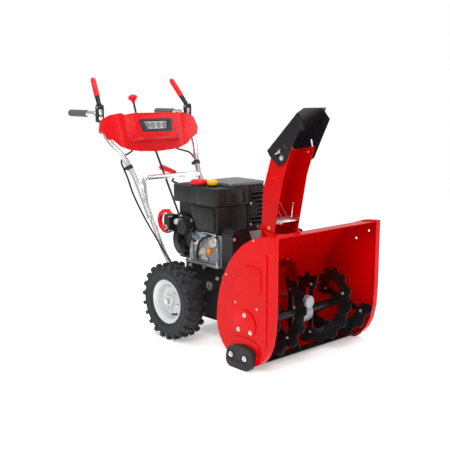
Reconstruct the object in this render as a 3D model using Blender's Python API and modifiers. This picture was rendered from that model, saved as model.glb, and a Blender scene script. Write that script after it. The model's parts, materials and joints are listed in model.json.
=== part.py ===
"""Two-stage snowblower: intake housing with augers and impeller, engine, drive, wheels, handles and chute.

Metres, +Z up. The machine faces -Y and its right-hand side, seen by the operator behind it, is at -X.
Every place below is measured from the front edge of the intake (Y = 0) and from the ground (Z = 0). One
empty, BASE, carries the whole machine and moves it so that the origin is under its middle.
"""

import math

import bmesh
import bpy
from mathutils import Matrix, Vector

# Overall sizes
OVERALL_LENGTH = 1.451
CLEARING_WIDTH = 0.620
INTAKE_HEIGHT = 0.527
INTAKE_DEPTH = 0.312
WHEEL_RADIUS = 0.165
HANDLE_HEIGHT = 0.942

# Sheet, tube and clearances
SHEET = 0.003
GAP = 0.0003
RUNNING = 0.0005
TUBE_RADIUS = 0.0125

# Intake housing
GROUND_LIFT = 0.013
SHOULDER_Z = 0.165
TOP_FLAT = 0.020
BELLY_RADIUS = 0.165
BELLY_Y = INTAKE_DEPTH - BELLY_RADIUS
CHIN_Z = 0.250
CHIN_POWER = 2.5
FLANGE = 0.026
SCRAPER_DEPTH = 0.042
SCRAPER_THICKNESS = 0.005
SKID_THICKNESS = 0.024
SKID_SLOT_RADIUS = 0.0055
SKID_SLOT_LENGTH = 0.016
SKID_BOLT_YS = (0.125, 0.201)
SKID_BOLT_Z = 0.046
DRIFT_BAR_HOLES = ((0.055, 0.475), (0.120, 0.435))
DRIFT_BAR_HOLE_RADIUS = 0.005

# First stage: augers
AUGER_Y = 0.148
AUGER_Z = 0.170
AUGER_RADIUS = 0.144
RIBBON_WIDTH = 0.050
RIBBON_THICKNESS = 0.004
RIBBON_TURNS = 0.80
RIBBON_STARTS = 2
AUGER_SHAFT_RADIUS = 0.0095
AUGER_TUBE_RADIUS = 0.0170
AUGER_INNER_X = 0.030
AUGER_OUTER_X = CLEARING_WIDTH / 2 - 0.022
SHAFT_END_X = CLEARING_WIDTH / 2 + 0.0035

# Auger gearbox
GEARBOX_RADIUS = 0.045
GEARBOX_HALF_WIDTH = 0.024
GEARBOX_WALL = 0.006
WORM_TUBE_RADIUS = 0.023
WORM_RADIUS = 0.0130
WORM_WHEEL_RADIUS = 0.0315

# Second stage: impeller and its drum
DRUM_Z = AUGER_Z + 0.045
DRUM_RADIUS = 0.150
DRUM_BACK_Y = INTAKE_DEPTH + 0.053
IMPELLER_RADIUS = DRUM_RADIUS - 0.005
IMPELLER_SHAFT_RADIUS = 0.0125
IMPELLER_FRONT_Y = INTAKE_DEPTH + 0.004
IMPELLER_BLADES = 4
SPOUT_RADIUS = 0.076
SPOUT_TOP = Vector((0, 0.270, 0.484))
CHUTE_LEAN = math.radians(10)
RING_RADIUS = 0.084
RING_THICKNESS = 0.004

# Chute and deflector
CHUTE_HALF_WIDTH = 0.070
CHUTE_FRONT = ((0.2320, 0.5000), (0.1910, 0.7120), (0.1500, 0.8320))
CHUTE_REAR = ((0.3070, 0.5050), (0.3010, 0.6540), (0.2485, 0.8150))
DEFLECTOR_HALF_WIDTH = 0.080
DEFLECTOR_FRONT = ((0.204, 0.755), (0.161, 0.785), (0.136, 0.837), (0.082, 0.944), (0.093, 0.985))
DEFLECTOR_REAR = ((0.271, 0.814), (0.093, 0.985))
DEFLECTOR_HEEL = (0.254, 0.791)
DEFLECTOR_PIVOT = Vector((0, 0.190, 0.790))
LIP_CORNER = ((0.060, -0.005), (0.085, -0.005), (0.085, 0.036))
SLOT_PLACE = (0.174, 0.837)
SLOT_ANGLE = math.radians(76)
SLOT_HALF_LENGTH = 0.017
SLOT_RADIUS = 0.004

# Wheels, axle and frame
WHEEL_Y = 0.633
TYRE_WIDTH = 0.100
WHEEL_OUTER_X = 0.322
RIM_RADIUS = 0.090
AXLE_RADIUS = 0.0125
WHEEL_SIDES = 28
FRAME_HALF_WIDTH = 0.150
FRAME_BACK_Y = 0.700
FRAME_BOTTOM_Z = 0.080
DECK_Z = 0.318
BULKHEAD_Y = 0.440
BELT_COVER_FRONT_Y = DRUM_BACK_Y + 0.0075

# Drive under the deck
FRICTION_Z = 0.225
FRICTION_PLATE_RADIUS = 0.075
FRICTION_PLATE_Y = 0.472
FRICTION_PLATE_THICKNESS = 0.005
FRICTION_WHEEL_RADIUS = 0.060
FRICTION_WHEEL_X = 0.015
DISC_RELEASE = 0.0015
HEX_SHAFT_RADIUS = 0.0085

# Engine
CRANK_X = -0.090
CRANK_Z = 0.405
CRANK_RADIUS = 0.011
ENGINE_FRONT_Y = 0.4445
ENGINE_BACK_Y = 0.655
ENGINE_RIGHT_X = -0.165
ENGINE_LEFT_X = 0.100
BLOCK_TOP_Z = 0.455
RECOIL_RADIUS = 0.097
RECOIL_BACK_Y = 0.745
TANK_BOTTOM_Z = 0.577
TANK_TOP_Z = 0.650
TANK_X = (-0.190, -0.010)
TANK_Y = (0.446, 0.751)
FUEL_CAP = Vector((-0.145, 0.612, TANK_TOP_Z))
FUEL_CAP_RADIUS = 0.038
OIL_CAP = Vector((-0.127, 0.546, TANK_TOP_Z))
OIL_CAP_RADIUS = 0.023
DIPSTICK = Vector((ENGINE_RIGHT_X, 0.507, 0.384))
RECOIL_GRIP_X = -0.140
RECOIL_GRIP_Z = 0.467
BUTTON = Vector((-0.205, 0.770, 0.457))
BUTTON_RADIUS = 0.006

# Belts and pulleys
ENGINE_SHEAVE = 0.034
IMPELLER_SHEAVE = 0.078
FRICTION_SHEAVE = 0.048
BELT_WIDTH = 0.010
BELT_THICKNESS = 0.008
BELT_STEPS = 14
AUGER_BELT_Y = 0.389
DRIVE_BELT_Y = 0.422

# Handles and controls
LEG_X = 0.1645
GRIP_X = 0.261
CROSSBAR_Y = 0.985
CROSSBAR_Z = 0.652
GRIP_LENGTH = 0.150
GRIP_RADIUS = 0.0165
CONSOLE_HALF_WIDTH = 0.285
CONSOLE_DEPTH = 0.085
CONSOLE_TILT = math.radians(17)
BULGE_DEPTH = 0.034
LAMP_DEPTH = 0.024
BULGE_HALF_WIDTH = 0.134
BULGE_Z = (0.056, 0.176)
CONSOLE_FOOT = Vector((0, 1.102, 0.765))
LEVER_PIVOT = Vector((0.262, 1.188, 0.972))
LEVER_TIP = Vector((0.233, 1.287, 1.107))
LEVER_RADIUS = 0.007
LEVER_HUB_LENGTH = 0.018
LEVER_EAR_GAP = LEVER_HUB_LENGTH + 2 * RUNNING
SHIFT_PIVOT = Vector((-0.030, 1.166, 0.7665))
SHIFT_KNOB = Vector((-0.040, 1.230, 0.990))
SHIFT_ROD_TOP = Vector((0, 1.122, 0.781))
SHIFT_ROD_FOOT = Vector((0, 0.772, 0.200))
CRANK_FRONT = Vector((0.112, 0.250, 0.459))
CRANK_REAR = Vector((0.142, 1.170, 0.600))
CRANK_GRIP = Vector((0.195, 1.195, 0.633))
CRANK_GRIP_LENGTH = 0.125
WORM_OF_CRANK_RADIUS = 0.018

X_AXIS = Vector((1, 0, 0))
Y_AXIS = Vector((0, 1, 0))
Z_AXIS = Vector((0, 0, 1))

for old in list(bpy.data.objects):
    bpy.data.objects.remove(old, do_unlink=True)

PARTS = bpy.data.collections.new("two_stage_snowblower")
bpy.context.scene.collection.children.link(PARTS)
TOOLS = bpy.data.collections.new("cutters")
bpy.context.scene.collection.children.link(TOOLS)
BASE = bpy.data.objects.new("base", None)
PARTS.objects.link(BASE)
BASE.location = (0, -OVERALL_LENGTH / 2, 0)


# ---- materials


def finish(name, colour, roughness, metallic=0.0):
    """A Principled material with one colour."""
    material = bpy.data.materials.new(name)
    material.use_nodes = True
    shader = material.node_tree.nodes["Principled BSDF"]
    shader.inputs["Base Color"].default_value = (*colour, 1)
    shader.inputs["Roughness"].default_value = roughness
    shader.inputs["Metallic"].default_value = metallic
    return material


RED = finish("red_paint", (0.80, 0.01, 0.015), 0.30)
BLACK_PAINT = finish("black_paint", (0.015, 0.015, 0.017), 0.40)
BLACK_PLASTIC = finish("black_plastic", (0.025, 0.025, 0.028), 0.50)
RED_PLASTIC = finish("red_plastic", (0.75, 0.015, 0.025), 0.35)
YELLOW_PLASTIC = finish("yellow_plastic", (0.90, 0.65, 0.03), 0.40)
ORANGE_PLASTIC = finish("orange_plastic", (0.90, 0.28, 0.02), 0.40)
CHROME = finish("bright_tube", (0.80, 0.80, 0.82), 0.20, 1.0)
ZINC = finish("zinc_steel", (0.65, 0.65, 0.67), 0.35, 1.0)
ALUMINIUM = finish("cast_aluminium", (0.55, 0.55, 0.56), 0.45, 1.0)
RUBBER = finish("black_rubber", (0.020, 0.020, 0.020), 0.80)
FOAM = finish("grey_foam", (0.20, 0.20, 0.21), 0.90)
RIM_PAINT = finish("rim_paint", (0.75, 0.75, 0.76), 0.35)
CLEAR = finish("lamp_lens", (0.80, 0.82, 0.85), 0.10)
CABLE = finish("cable_jacket", (0.02, 0.02, 0.02), 0.55)


# ---- shapes


def put(obj, tool=False):
    """Links an object under BASE, as a part or as a hidden cutter."""
    (TOOLS if tool else PARTS).objects.link(obj)
    obj.parent = BASE
    if tool:
        obj.hide_render = True
        obj.display_type = "WIRE"
    return obj


def from_bmesh(name, bm, tool=False):
    mesh = bpy.data.meshes.new(name)
    bmesh.ops.recalc_face_normals(bm, faces=bm.faces)
    bm.to_mesh(mesh)
    bm.free()
    return put(bpy.data.objects.new(name, mesh), tool)


def turn_to(axis, roll=0.0):
    """The rotation that takes +Z to the axis."""
    return axis.to_track_quat("Z", "Y").to_matrix().to_4x4() @ Matrix.Rotation(roll, 4, "Z")


def box(name, low, high, tool=False):
    low, high = Vector(low), Vector(high)
    size = Matrix.Diagonal((*(high - low), 1))
    bm = bmesh.new()
    bmesh.ops.create_cube(bm, size=1, matrix=Matrix.Translation((low + high) / 2) @ size)
    return from_bmesh(name, bm, tool)


def rod(name, start, end, radius, tool=False, sides=16, end_radius=None):
    """A cylinder or cone between two points."""
    start, end = Vector(start), Vector(end)
    place = Matrix.Translation((start + end) / 2) @ turn_to((end - start).normalized())
    bm = bmesh.new()
    bmesh.ops.create_cone(
        bm, cap_ends=True, segments=sides, radius1=radius,
        radius2=radius if end_radius is None else end_radius,
        depth=(end - start).length, matrix=place,
    )
    return from_bmesh(name, bm, tool)


def turned(name, profile, origin, axis, tool=False, sides=20):
    """A profile of (radius, height) points, outer side top to bottom, turned about an axis through origin."""
    mesh = bpy.data.meshes.new(name)
    count = len(profile)
    edges = [(i, (i + 1) % count) for i in range(count)]
    if min(radius for radius, _ in profile) == 0:
        edges = edges[:-1]
    mesh.from_pydata([(radius, 0, height) for radius, height in profile], edges, [])
    obj = put(bpy.data.objects.new(name, mesh), tool)
    screw = obj.modifiers.new("turn", "SCREW")
    screw.steps = sides
    screw.render_steps = sides
    screw.use_merge_vertices = True
    screw.merge_threshold = 0.0001
    screw.use_smooth_shade = True
    obj.location = origin
    obj.rotation_euler = turn_to(Vector(axis)).to_euler()
    return obj


def as_mesh(obj):
    """A curve made a mesh with welded caps, in its place and collection."""
    bpy.context.view_layer.update()
    graph = bpy.context.evaluated_depsgraph_get()
    mesh = bpy.data.meshes.new_from_object(obj.evaluated_get(graph))
    mesh.transform(obj.matrix_local)
    bm = bmesh.new()
    bm.from_mesh(mesh)
    bmesh.ops.remove_doubles(bm, verts=bm.verts, dist=0.00001)
    bmesh.ops.recalc_face_normals(bm, faces=bm.faces)
    bm.to_mesh(mesh)
    bm.free()
    name, tool = obj.name, obj.name in TOOLS.objects
    bpy.data.objects.remove(obj)
    return put(bpy.data.objects.new(name, mesh), tool)


PLANES = {
    "X": Matrix(((0, 0, 1, 0), (1, 0, 0, 0), (0, 1, 0, 0), (0, 0, 0, 1))),
    "Y": Matrix(((1, 0, 0, 0), (0, 0, -1, 0), (0, 1, 0, 0), (0, 0, 0, 1))),
    "Z": Matrix.Identity(4),
}


def plate(name, outlines, axis, low, high, tool=False):
    """Flat outlines filled and thickened from low to high along an axis. The first is the outer edge."""
    curve = bpy.data.curves.new(name, "CURVE")
    curve.dimensions = "2D"
    curve.fill_mode = "BOTH"
    curve.extrude = (high - low) / 2
    for outline in outlines:
        spline = curve.splines.new("POLY")
        spline.points.add(len(outline) - 1)
        for point, (u, v) in zip(spline.points, outline):
            point.co = (u, v, 0, 1)
        spline.use_cyclic_u = True
    obj = put(bpy.data.objects.new(name, curve), tool)
    middle = (low + high) / 2
    offset = Matrix.Translation((0, 0, -middle if axis == "Y" else middle))
    obj.matrix_local = PLANES[axis] @ offset
    return as_mesh(obj)


def tube(name, points, radius, resolution=3, tool=False):
    """A bent bar or tube along a path of points."""
    curve = bpy.data.curves.new(name, "CURVE")
    curve.dimensions = "3D"
    curve.bevel_depth = radius
    curve.bevel_resolution = resolution
    curve.use_fill_caps = True
    spline = curve.splines.new("POLY")
    spline.points.add(len(points) - 1)
    for point, place in zip(spline.points, points):
        point.co = (*place, 1)
    return put(bpy.data.objects.new(name, curve), tool)


def rounded(points, radius, steps=5):
    """A path whose corners are arcs of about the given radius."""
    points = [Vector(point) for point in points]
    path = [points[0]]
    for before, corner, after in zip(points, points[1:], points[2:]):
        into, out = (corner - before), (after - corner)
        turn = into.angle(out)
        if turn < 0.30:
            path.append(corner)
            continue
        reach = min(radius * math.tan(turn / 2), 0.48 * into.length, 0.48 * out.length)
        start = corner - into.normalized() * reach
        end = corner + out.normalized() * reach
        for step in range(steps + 1):
            t = step / steps
            path.append(start * (1 - t) ** 2 + corner * 2 * t * (1 - t) + end * t * t)
    return path + [points[-1]]


def smooth_path(points, steps):
    """A Catmull-Rom path through the points."""
    points = [Vector(point) for point in points]
    ends = [2 * points[0] - points[1]] + points + [2 * points[-1] - points[-2]]
    path = []
    for a, b, c, d in zip(ends, ends[1:], ends[2:], ends[3:]):
        for step in range(steps):
            t = step / steps
            path.append(
                0.5 * (2 * b + (c - a) * t + (2 * a - 5 * b + 4 * c - d) * t * t + (3 * b - a - 3 * c + d) * t ** 3)
            )
    return path + [points[-1]]


def boolean(obj, others, operation):
    for other in others:
        modifier = obj.modifiers.new(operation.lower(), "BOOLEAN")
        modifier.operation = operation
        modifier.object = other
        if other.name in PARTS.objects:
            PARTS.objects.unlink(other)
            TOOLS.objects.link(other)
            other.hide_render = True
            other.display_type = "WIRE"


def part(obj, material, joined=(), cut=(), origin=None):
    """Finishes a piece: its joins, its cuts, its material and, where it moves, its origin on its axis."""
    boolean(obj, joined, "UNION")
    boolean(obj, cut, "DIFFERENCE")
    obj.data.materials.clear()
    obj.data.materials.append(material)
    if origin is not None:
        shift = Vector(origin) - obj.location
        obj.data.transform(obj.rotation_euler.to_matrix().to_4x4().inverted() @ Matrix.Translation(-shift)
                           @ obj.rotation_euler.to_matrix().to_4x4())
        obj.location = origin
    if obj.type == "MESH":
        obj.data.shade_smooth()
        obj.data.set_sharp_from_angle(angle=math.radians(35))
    return obj


def ring_points(centre, radius, count, half_width=None):
    """A circle of (u, v) points, or a slot of the given half length between centres along u."""
    points = []
    for i in range(count):
        angle = 2 * math.pi * i / count
        u, v = radius * math.cos(angle), radius * math.sin(angle)
        if half_width:
            u += math.copysign(half_width, math.cos(angle) + 1e-9)
        points.append((centre[0] + u, centre[1] + v))
    return points


def quarter(centre, a, b, start, end, steps, power=2.0):
    """Points of a quarter of a superellipse about (y, z), from start to end in degrees."""
    points = []
    for step in range(steps + 1):
        angle = math.radians(start + (end - start) * step / steps)
        cos, sin = math.cos(angle), math.sin(angle)
        y = centre[0] + a * math.copysign(abs(cos) ** (2 / power), cos)
        z = centre[1] + b * math.copysign(abs(sin) ** (2 / power), sin)
        points.append((y, z))
    return points


def offset_path(path, distance):
    """A path of (y, z) points moved sideways, to the left of its direction."""
    moved = []
    for i, point in enumerate(path):
        before = path[max(i - 1, 0)]
        after = path[min(i + 1, len(path) - 1)]
        along = Vector((after[0] - before[0], after[1] - before[1])).normalized()
        moved.append((point[0] - along.y * distance, point[1] + along.x * distance))
    return moved


# ---- intake housing


def back_profile(inset):
    """The housing's wrap in (y, z), from the front of its roof down its back to the scraper bar."""
    top = INTAKE_HEIGHT - inset
    back = INTAKE_DEPTH - inset
    bottom = GROUND_LIFT + inset
    path = quarter((TOP_FLAT, SHOULDER_Z), back - TOP_FLAT, top - SHOULDER_Z, 90, 0, 9)
    path += quarter((BELLY_Y, SHOULDER_Z), back - BELLY_Y, SHOULDER_Z - bottom, 0, -90, 7)[1:]
    return path


def side_outline(inset):
    """The side plate's whole outline in (y, z)."""
    bottom = GROUND_LIFT + inset
    chin = quarter((BELLY_Y, CHIN_Z), BELLY_Y - inset, CHIN_Z - bottom, -90, -180, 6, CHIN_POWER)
    return [(inset, INTAKE_HEIGHT - inset)] + back_profile(inset) + chin[1:]


def make_side_plate(name, side):
    """A pressed plate with a flange all round, turned in over the wrap."""
    outer = side * CLEARING_WIDTH / 2
    bm = bmesh.new()
    edge = [bm.verts.new((outer, y, z)) for y, z in side_outline(0)]
    bm.faces.new(edge)
    rim = bmesh.ops.extrude_edge_only(bm, edges=bm.edges[:])
    moved = [item for item in rim["geom"] if isinstance(item, bmesh.types.BMVert)]
    bmesh.ops.translate(bm, verts=moved, vec=(-side * FLANGE, 0, 0))
    plate_obj = from_bmesh(name, bm)
    wall = plate_obj.modifiers.new("sheet", "SOLIDIFY")
    wall.thickness = SHEET
    wall.offset = -1
    wall.use_even_offset = True
    holes = [rod(name + "_bearing_hole", (outer - 0.02, AUGER_Y, AUGER_Z), (outer + 0.02, AUGER_Y, AUGER_Z),
                 AUGER_SHAFT_RADIUS + RUNNING, tool=True)]
    for y in SKID_BOLT_YS:
        holes.append(rod(name + "_skid_hole", (outer - 0.02, y, SKID_BOLT_Z), (outer + 0.02, y, SKID_BOLT_Z),
                         SKID_SLOT_RADIUS, tool=True, sides=12))
    if side > 0:
        for y, z in DRIFT_BAR_HOLES:
            holes.append(rod(name + "_bar_hole", (outer - 0.02, y, z), (outer + 0.02, y, z),
                             DRIFT_BAR_HOLE_RADIUS, tool=True, sides=16))
    part(plate_obj, RED, cut=holes)


def shell_block(name, inset, half_width, tool=True):
    """The solid inside the wrap's curve at an inset, closed straight across the mouth."""
    path = back_profile(inset)
    return plate(name, [[(-0.02, path[0][1])] + path + [(-0.02, path[-1][1])]], "X", -half_width, half_width, tool)


def make_auger_housing():
    inset = SHEET + GAP
    outer = back_profile(inset)
    outer[0] = (SHEET + GAP, outer[0][1])
    inner = back_profile(inset + SHEET)
    inner[0] = (SHEET + GAP, inner[0][1])
    half = CLEARING_WIDTH / 2 - SHEET - GAP
    wrap = plate("auger_housing", [outer + inner[::-1]], "X", -half, half)
    hole = rod("impeller_hole", (0, 0.18, DRUM_Z), (0, 0.40, DRUM_Z), DRUM_RADIUS, tool=True, sides=32)
    part(wrap, RED, cut=[hole])


def make_scraper_bar():
    half = CLEARING_WIDTH / 2 - FLANGE - GAP
    bottom = GROUND_LIFT + SHEET + GAP
    bar = box("scraper_bar", (-half, BELLY_Y - GAP - SCRAPER_DEPTH, bottom),
              (half, BELLY_Y - GAP, bottom + SCRAPER_THICKNESS))
    part(bar, BLACK_PAINT)


def make_skid_shoe(name, side):
    """A moulded shoe with two slots for height, bolted low on the side plate."""
    outline = [(0.227, 0.060), (0.233, 0.026), (0.226, 0.010), (0.209, 0.0), (0.122, 0.0), (0.104, 0.008),
               (0.092, 0.024), (0.082, 0.066), (0.086, 0.080), (0.098, 0.089), (0.148, 0.096), (0.193, 0.088),
               (0.218, 0.078)]
    inner = CLEARING_WIDTH / 2 + GAP
    low, high = sorted((side * inner, side * (inner + SKID_THICKNESS)))
    shoe = plate(name, [outline], "X", low, high)
    slots = []
    for y in SKID_BOLT_YS:
        points = [(y + v, SKID_BOLT_Z + u) for u, v in ring_points((0, 0), SKID_SLOT_RADIUS, 12, SKID_SLOT_LENGTH / 2)]
        slots.append(plate(name + "_slot", [points], "X", low - 0.01, high + 0.01, tool=True))
    part(shoe, BLACK_PLASTIC, cut=slots)


# ---- first stage


def ribbon(name, side, start_angle):
    """One helical ribbon of an auger, from its outer end in to the gearbox."""
    steps = 20
    bm = bmesh.new()
    rows = []
    for step in range(steps + 1):
        t = step / steps
        x = side * (AUGER_OUTER_X - 0.010 - t * (AUGER_OUTER_X - 0.010 - AUGER_INNER_X - 0.016))
        angle = start_angle + side * 2 * math.pi * RIBBON_TURNS * t
        row = []
        for radius, shift in ((AUGER_RADIUS - RIBBON_WIDTH, -1), (AUGER_RADIUS, -1), (AUGER_RADIUS, 1),
                              (AUGER_RADIUS - RIBBON_WIDTH, 1)):
            row.append(bm.verts.new((x + shift * RIBBON_THICKNESS / 2, AUGER_Y + radius * math.cos(angle),
                                     AUGER_Z + radius * math.sin(angle))))
        rows.append(row)
    bm.faces.new(rows[0])
    bm.faces.new(rows[-1][::-1])
    for a, b in zip(rows, rows[1:]):
        for i in range(4):
            bm.faces.new((a[i], b[i], b[(i + 1) % 4], a[(i + 1) % 4]))
    return from_bmesh(name, bm)


def auger_arm(name, side, start_angle, t):
    """A flat bar from the auger's tube out to its ribbon, at t along it."""
    x = side * (AUGER_OUTER_X - 0.010 - t * (AUGER_OUTER_X - 0.010 - AUGER_INNER_X - 0.016))
    angle = start_angle + side * 2 * math.pi * RIBBON_TURNS * t
    inner, outer = AUGER_TUBE_RADIUS - 0.003, AUGER_RADIUS - RIBBON_WIDTH + 0.012
    half = Matrix.Diagonal((0.005, outer - inner, 0.020, 1))
    place = (Matrix.Translation((x, AUGER_Y, AUGER_Z)) @ Matrix.Rotation(angle, 4, "X")
             @ Matrix.Translation((0, (inner + outer) / 2, 0)))
    bm = bmesh.new()
    bmesh.ops.create_cube(bm, size=1, matrix=place @ half)
    return from_bmesh(name, bm)


def make_auger(name, side):
    tube_low, tube_high = sorted((side * AUGER_INNER_X, side * AUGER_OUTER_X))
    body = rod(name, (tube_low, AUGER_Y, AUGER_Z), (tube_high, AUGER_Y, AUGER_Z), AUGER_TUBE_RADIUS)
    joined = []
    for start in range(RIBBON_STARTS):
        angle = 2 * math.pi * start / RIBBON_STARTS
        joined.append(ribbon(f"{name}_ribbon_{start}", side, angle))
        for t in (0.06, 0.5, 0.94):
            joined.append(auger_arm(f"{name}_arm_{start}", side, angle, t))
    bore = rod(name + "_bore", (tube_low - 0.01, AUGER_Y, AUGER_Z), (tube_high + 0.01, AUGER_Y, AUGER_Z),
               AUGER_SHAFT_RADIUS + GAP, tool=True)
    part(body, BLACK_PAINT, joined=joined, cut=[bore], origin=(0, AUGER_Y, AUGER_Z))


def make_auger_shaft():
    shaft = rod("auger_shaft", (-SHAFT_END_X, AUGER_Y, AUGER_Z), (SHAFT_END_X, AUGER_Y, AUGER_Z),
                AUGER_SHAFT_RADIUS)
    part(shaft, ZINC, origin=(0, AUGER_Y, AUGER_Z))
    wheel_profile = [(AUGER_SHAFT_RADIUS + GAP, 0.010), (WORM_WHEEL_RADIUS - 0.003, 0.010),
                     (WORM_WHEEL_RADIUS, 0.007), (WORM_WHEEL_RADIUS, -0.007),
                     (WORM_WHEEL_RADIUS - 0.003, -0.010), (AUGER_SHAFT_RADIUS + GAP, -0.010)]
    wheel = turned("worm_wheel", wheel_profile, (0, AUGER_Y, AUGER_Z), X_AXIS)
    part(wheel, ZINC)


def make_gearbox():
    """A cast case round the worm wheel, with the worm's tube above it."""
    case = rod("auger_gearbox", (-GEARBOX_HALF_WIDTH, AUGER_Y, AUGER_Z), (GEARBOX_HALF_WIDTH, AUGER_Y, AUGER_Z),
               GEARBOX_RADIUS, sides=32)
    front, back = AUGER_Y - 0.050, AUGER_Y + 0.058
    neck = rod("gearbox_neck", (0, front, DRUM_Z), (0, back, DRUM_Z), WORM_TUBE_RADIUS)
    room = rod("gearbox_room", (-GEARBOX_HALF_WIDTH + GEARBOX_WALL, AUGER_Y, AUGER_Z),
               (GEARBOX_HALF_WIDTH - GEARBOX_WALL, AUGER_Y, AUGER_Z), GEARBOX_RADIUS - GEARBOX_WALL, tool=True)
    worm_room = rod("gearbox_worm_room", (0, front + GEARBOX_WALL, DRUM_Z), (0, back - GEARBOX_WALL, DRUM_Z),
                    WORM_TUBE_RADIUS - GEARBOX_WALL, tool=True)
    cross = rod("gearbox_cross_hole", (-0.04, AUGER_Y, AUGER_Z), (0.04, AUGER_Y, AUGER_Z),
                AUGER_SHAFT_RADIUS + RUNNING, tool=True)
    rear = rod("gearbox_rear_hole", (0, AUGER_Y, DRUM_Z), (0, back + 0.01, DRUM_Z),
               IMPELLER_SHAFT_RADIUS + RUNNING, tool=True)
    part(case, ALUMINIUM, joined=[neck], cut=[room, worm_room, cross, rear])


# ---- second stage


def along_spout(height):
    """A point on the chute's axis, height above the spout's top along it."""
    return SPOUT_TOP + height * Vector((0, -math.sin(CHUTE_LEAN), math.cos(CHUTE_LEAN)))


def make_impeller_housing():
    back = DRUM_BACK_Y
    drum = rod("impeller_housing", (0, INTAKE_DEPTH - 0.120, DRUM_Z), (0, back, DRUM_Z), DRUM_RADIUS + SHEET,
               sides=28)
    spout = rod("spout", along_spout(-0.130), along_spout(0), SPOUT_RADIUS, sides=24)
    flange = rod("spout_flange", along_spout(-RING_THICKNESS), along_spout(0), RING_RADIUS, sides=24)
    room = rod("drum_room", (0, INTAKE_DEPTH - 0.140, DRUM_Z), (0, back - SHEET, DRUM_Z), DRUM_RADIUS,
               tool=True, sides=28)
    spout_room = rod("spout_room", along_spout(-0.170), along_spout(0.02), SPOUT_RADIUS - SHEET, tool=True,
                     sides=24)
    rear_keep = box("spout_back_trim", (-0.2, back, 0.0), (0.2, back + 0.05, 0.6), tool=True)
    shell = shell_block("wrap_clearance", SHEET, CLEARING_WIDTH / 2)
    bearing = rod("drum_bearing_hole", (0, back - 0.02, DRUM_Z), (0, back + 0.02, DRUM_Z),
                  IMPELLER_SHAFT_RADIUS + RUNNING, tool=True)
    part(drum, RED, joined=[spout, flange], cut=[room, spout_room, shell, bearing, rear_keep])


def make_impeller():
    front, back = IMPELLER_FRONT_Y, DRUM_BACK_Y - SHEET - 0.004
    hub = rod("impeller", (0, front, DRUM_Z), (0, back, DRUM_Z), 0.022)
    blades = []
    for i in range(IMPELLER_BLADES):
        angle = 2 * math.pi * (i + 0.5) / IMPELLER_BLADES
        length = IMPELLER_RADIUS - 0.018
        place = (Matrix.Translation((0, (front + back) / 2, DRUM_Z)) @ Matrix.Rotation(angle, 4, "Y")
                 @ Matrix.Translation((0.018 + length / 2, 0, 0)))
        bm = bmesh.new()
        bmesh.ops.create_cube(bm, size=1, matrix=place @ Matrix.Diagonal((length, back - front, 0.004, 1)))
        blades.append(from_bmesh(f"impeller_blade_{i}", bm))
    bore = rod("impeller_bore", (0, front - 0.01, DRUM_Z), (0, back + 0.01, DRUM_Z),
               IMPELLER_SHAFT_RADIUS + GAP, tool=True)
    part(hub, RED, joined=blades, cut=[bore], origin=(0, 0, DRUM_Z))


def make_impeller_shaft():
    """The shaft from the worm in the gearbox to the pulley behind the drum."""
    shaft = rod("impeller_shaft", (0, AUGER_Y + 0.030, DRUM_Z), (0, AUGER_BELT_Y + 0.014, DRUM_Z),
                IMPELLER_SHAFT_RADIUS)
    worm = rod("worm", (0, AUGER_Y - 0.035, DRUM_Z), (0, AUGER_Y + 0.031, DRUM_Z), WORM_RADIUS)
    part(shaft, ZINC, joined=[worm], origin=(0, 0, DRUM_Z))


# ---- belts and pulleys


def sheave_profile(belt_radius, bore, half_length):
    """A V-belt pulley in (radius, height), grooved for a belt whose inner side runs at belt_radius."""
    groove = BELT_WIDTH / 2 + 0.0005
    floor, lip = belt_radius - 0.0016, belt_radius + BELT_THICKNESS
    side = groove + 0.0025
    return [(bore, half_length), (floor, half_length), (lip, side), (lip, groove), (floor, groove),
            (floor, -groove), (lip, -groove), (lip, -side), (floor, -half_length), (bore, -half_length)]


def belt_outline(centre_a, radius_a, centre_b, radius_b):
    """The tight loop round two circles in (x, z)."""
    a, b = Vector(centre_a), Vector(centre_b)
    line = b - a
    heading = math.atan2(line.y, line.x)
    spread = math.acos((radius_a - radius_b) / line.length)
    points = []
    for centre, radius, start, end in ((a, radius_a, spread, 2 * math.pi - spread), (b, radius_b, -spread, spread)):
        for step in range(BELT_STEPS + 1):
            angle = heading + start + (end - start) * step / BELT_STEPS
            points.append((centre.x + radius * math.cos(angle), centre.y + radius * math.sin(angle)))
    return points


def make_belt(name, y, drive_radius, driven_centre, driven_radius):
    engine = (CRANK_X, CRANK_Z)
    outlines = [
        belt_outline(engine, drive_radius + grow, driven_centre, driven_radius + grow)
        for grow in (BELT_THICKNESS - 0.0004, 0)
    ]
    part(plate(name, outlines, "Y", y - BELT_WIDTH / 2, y + BELT_WIDTH / 2), RUBBER)


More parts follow.
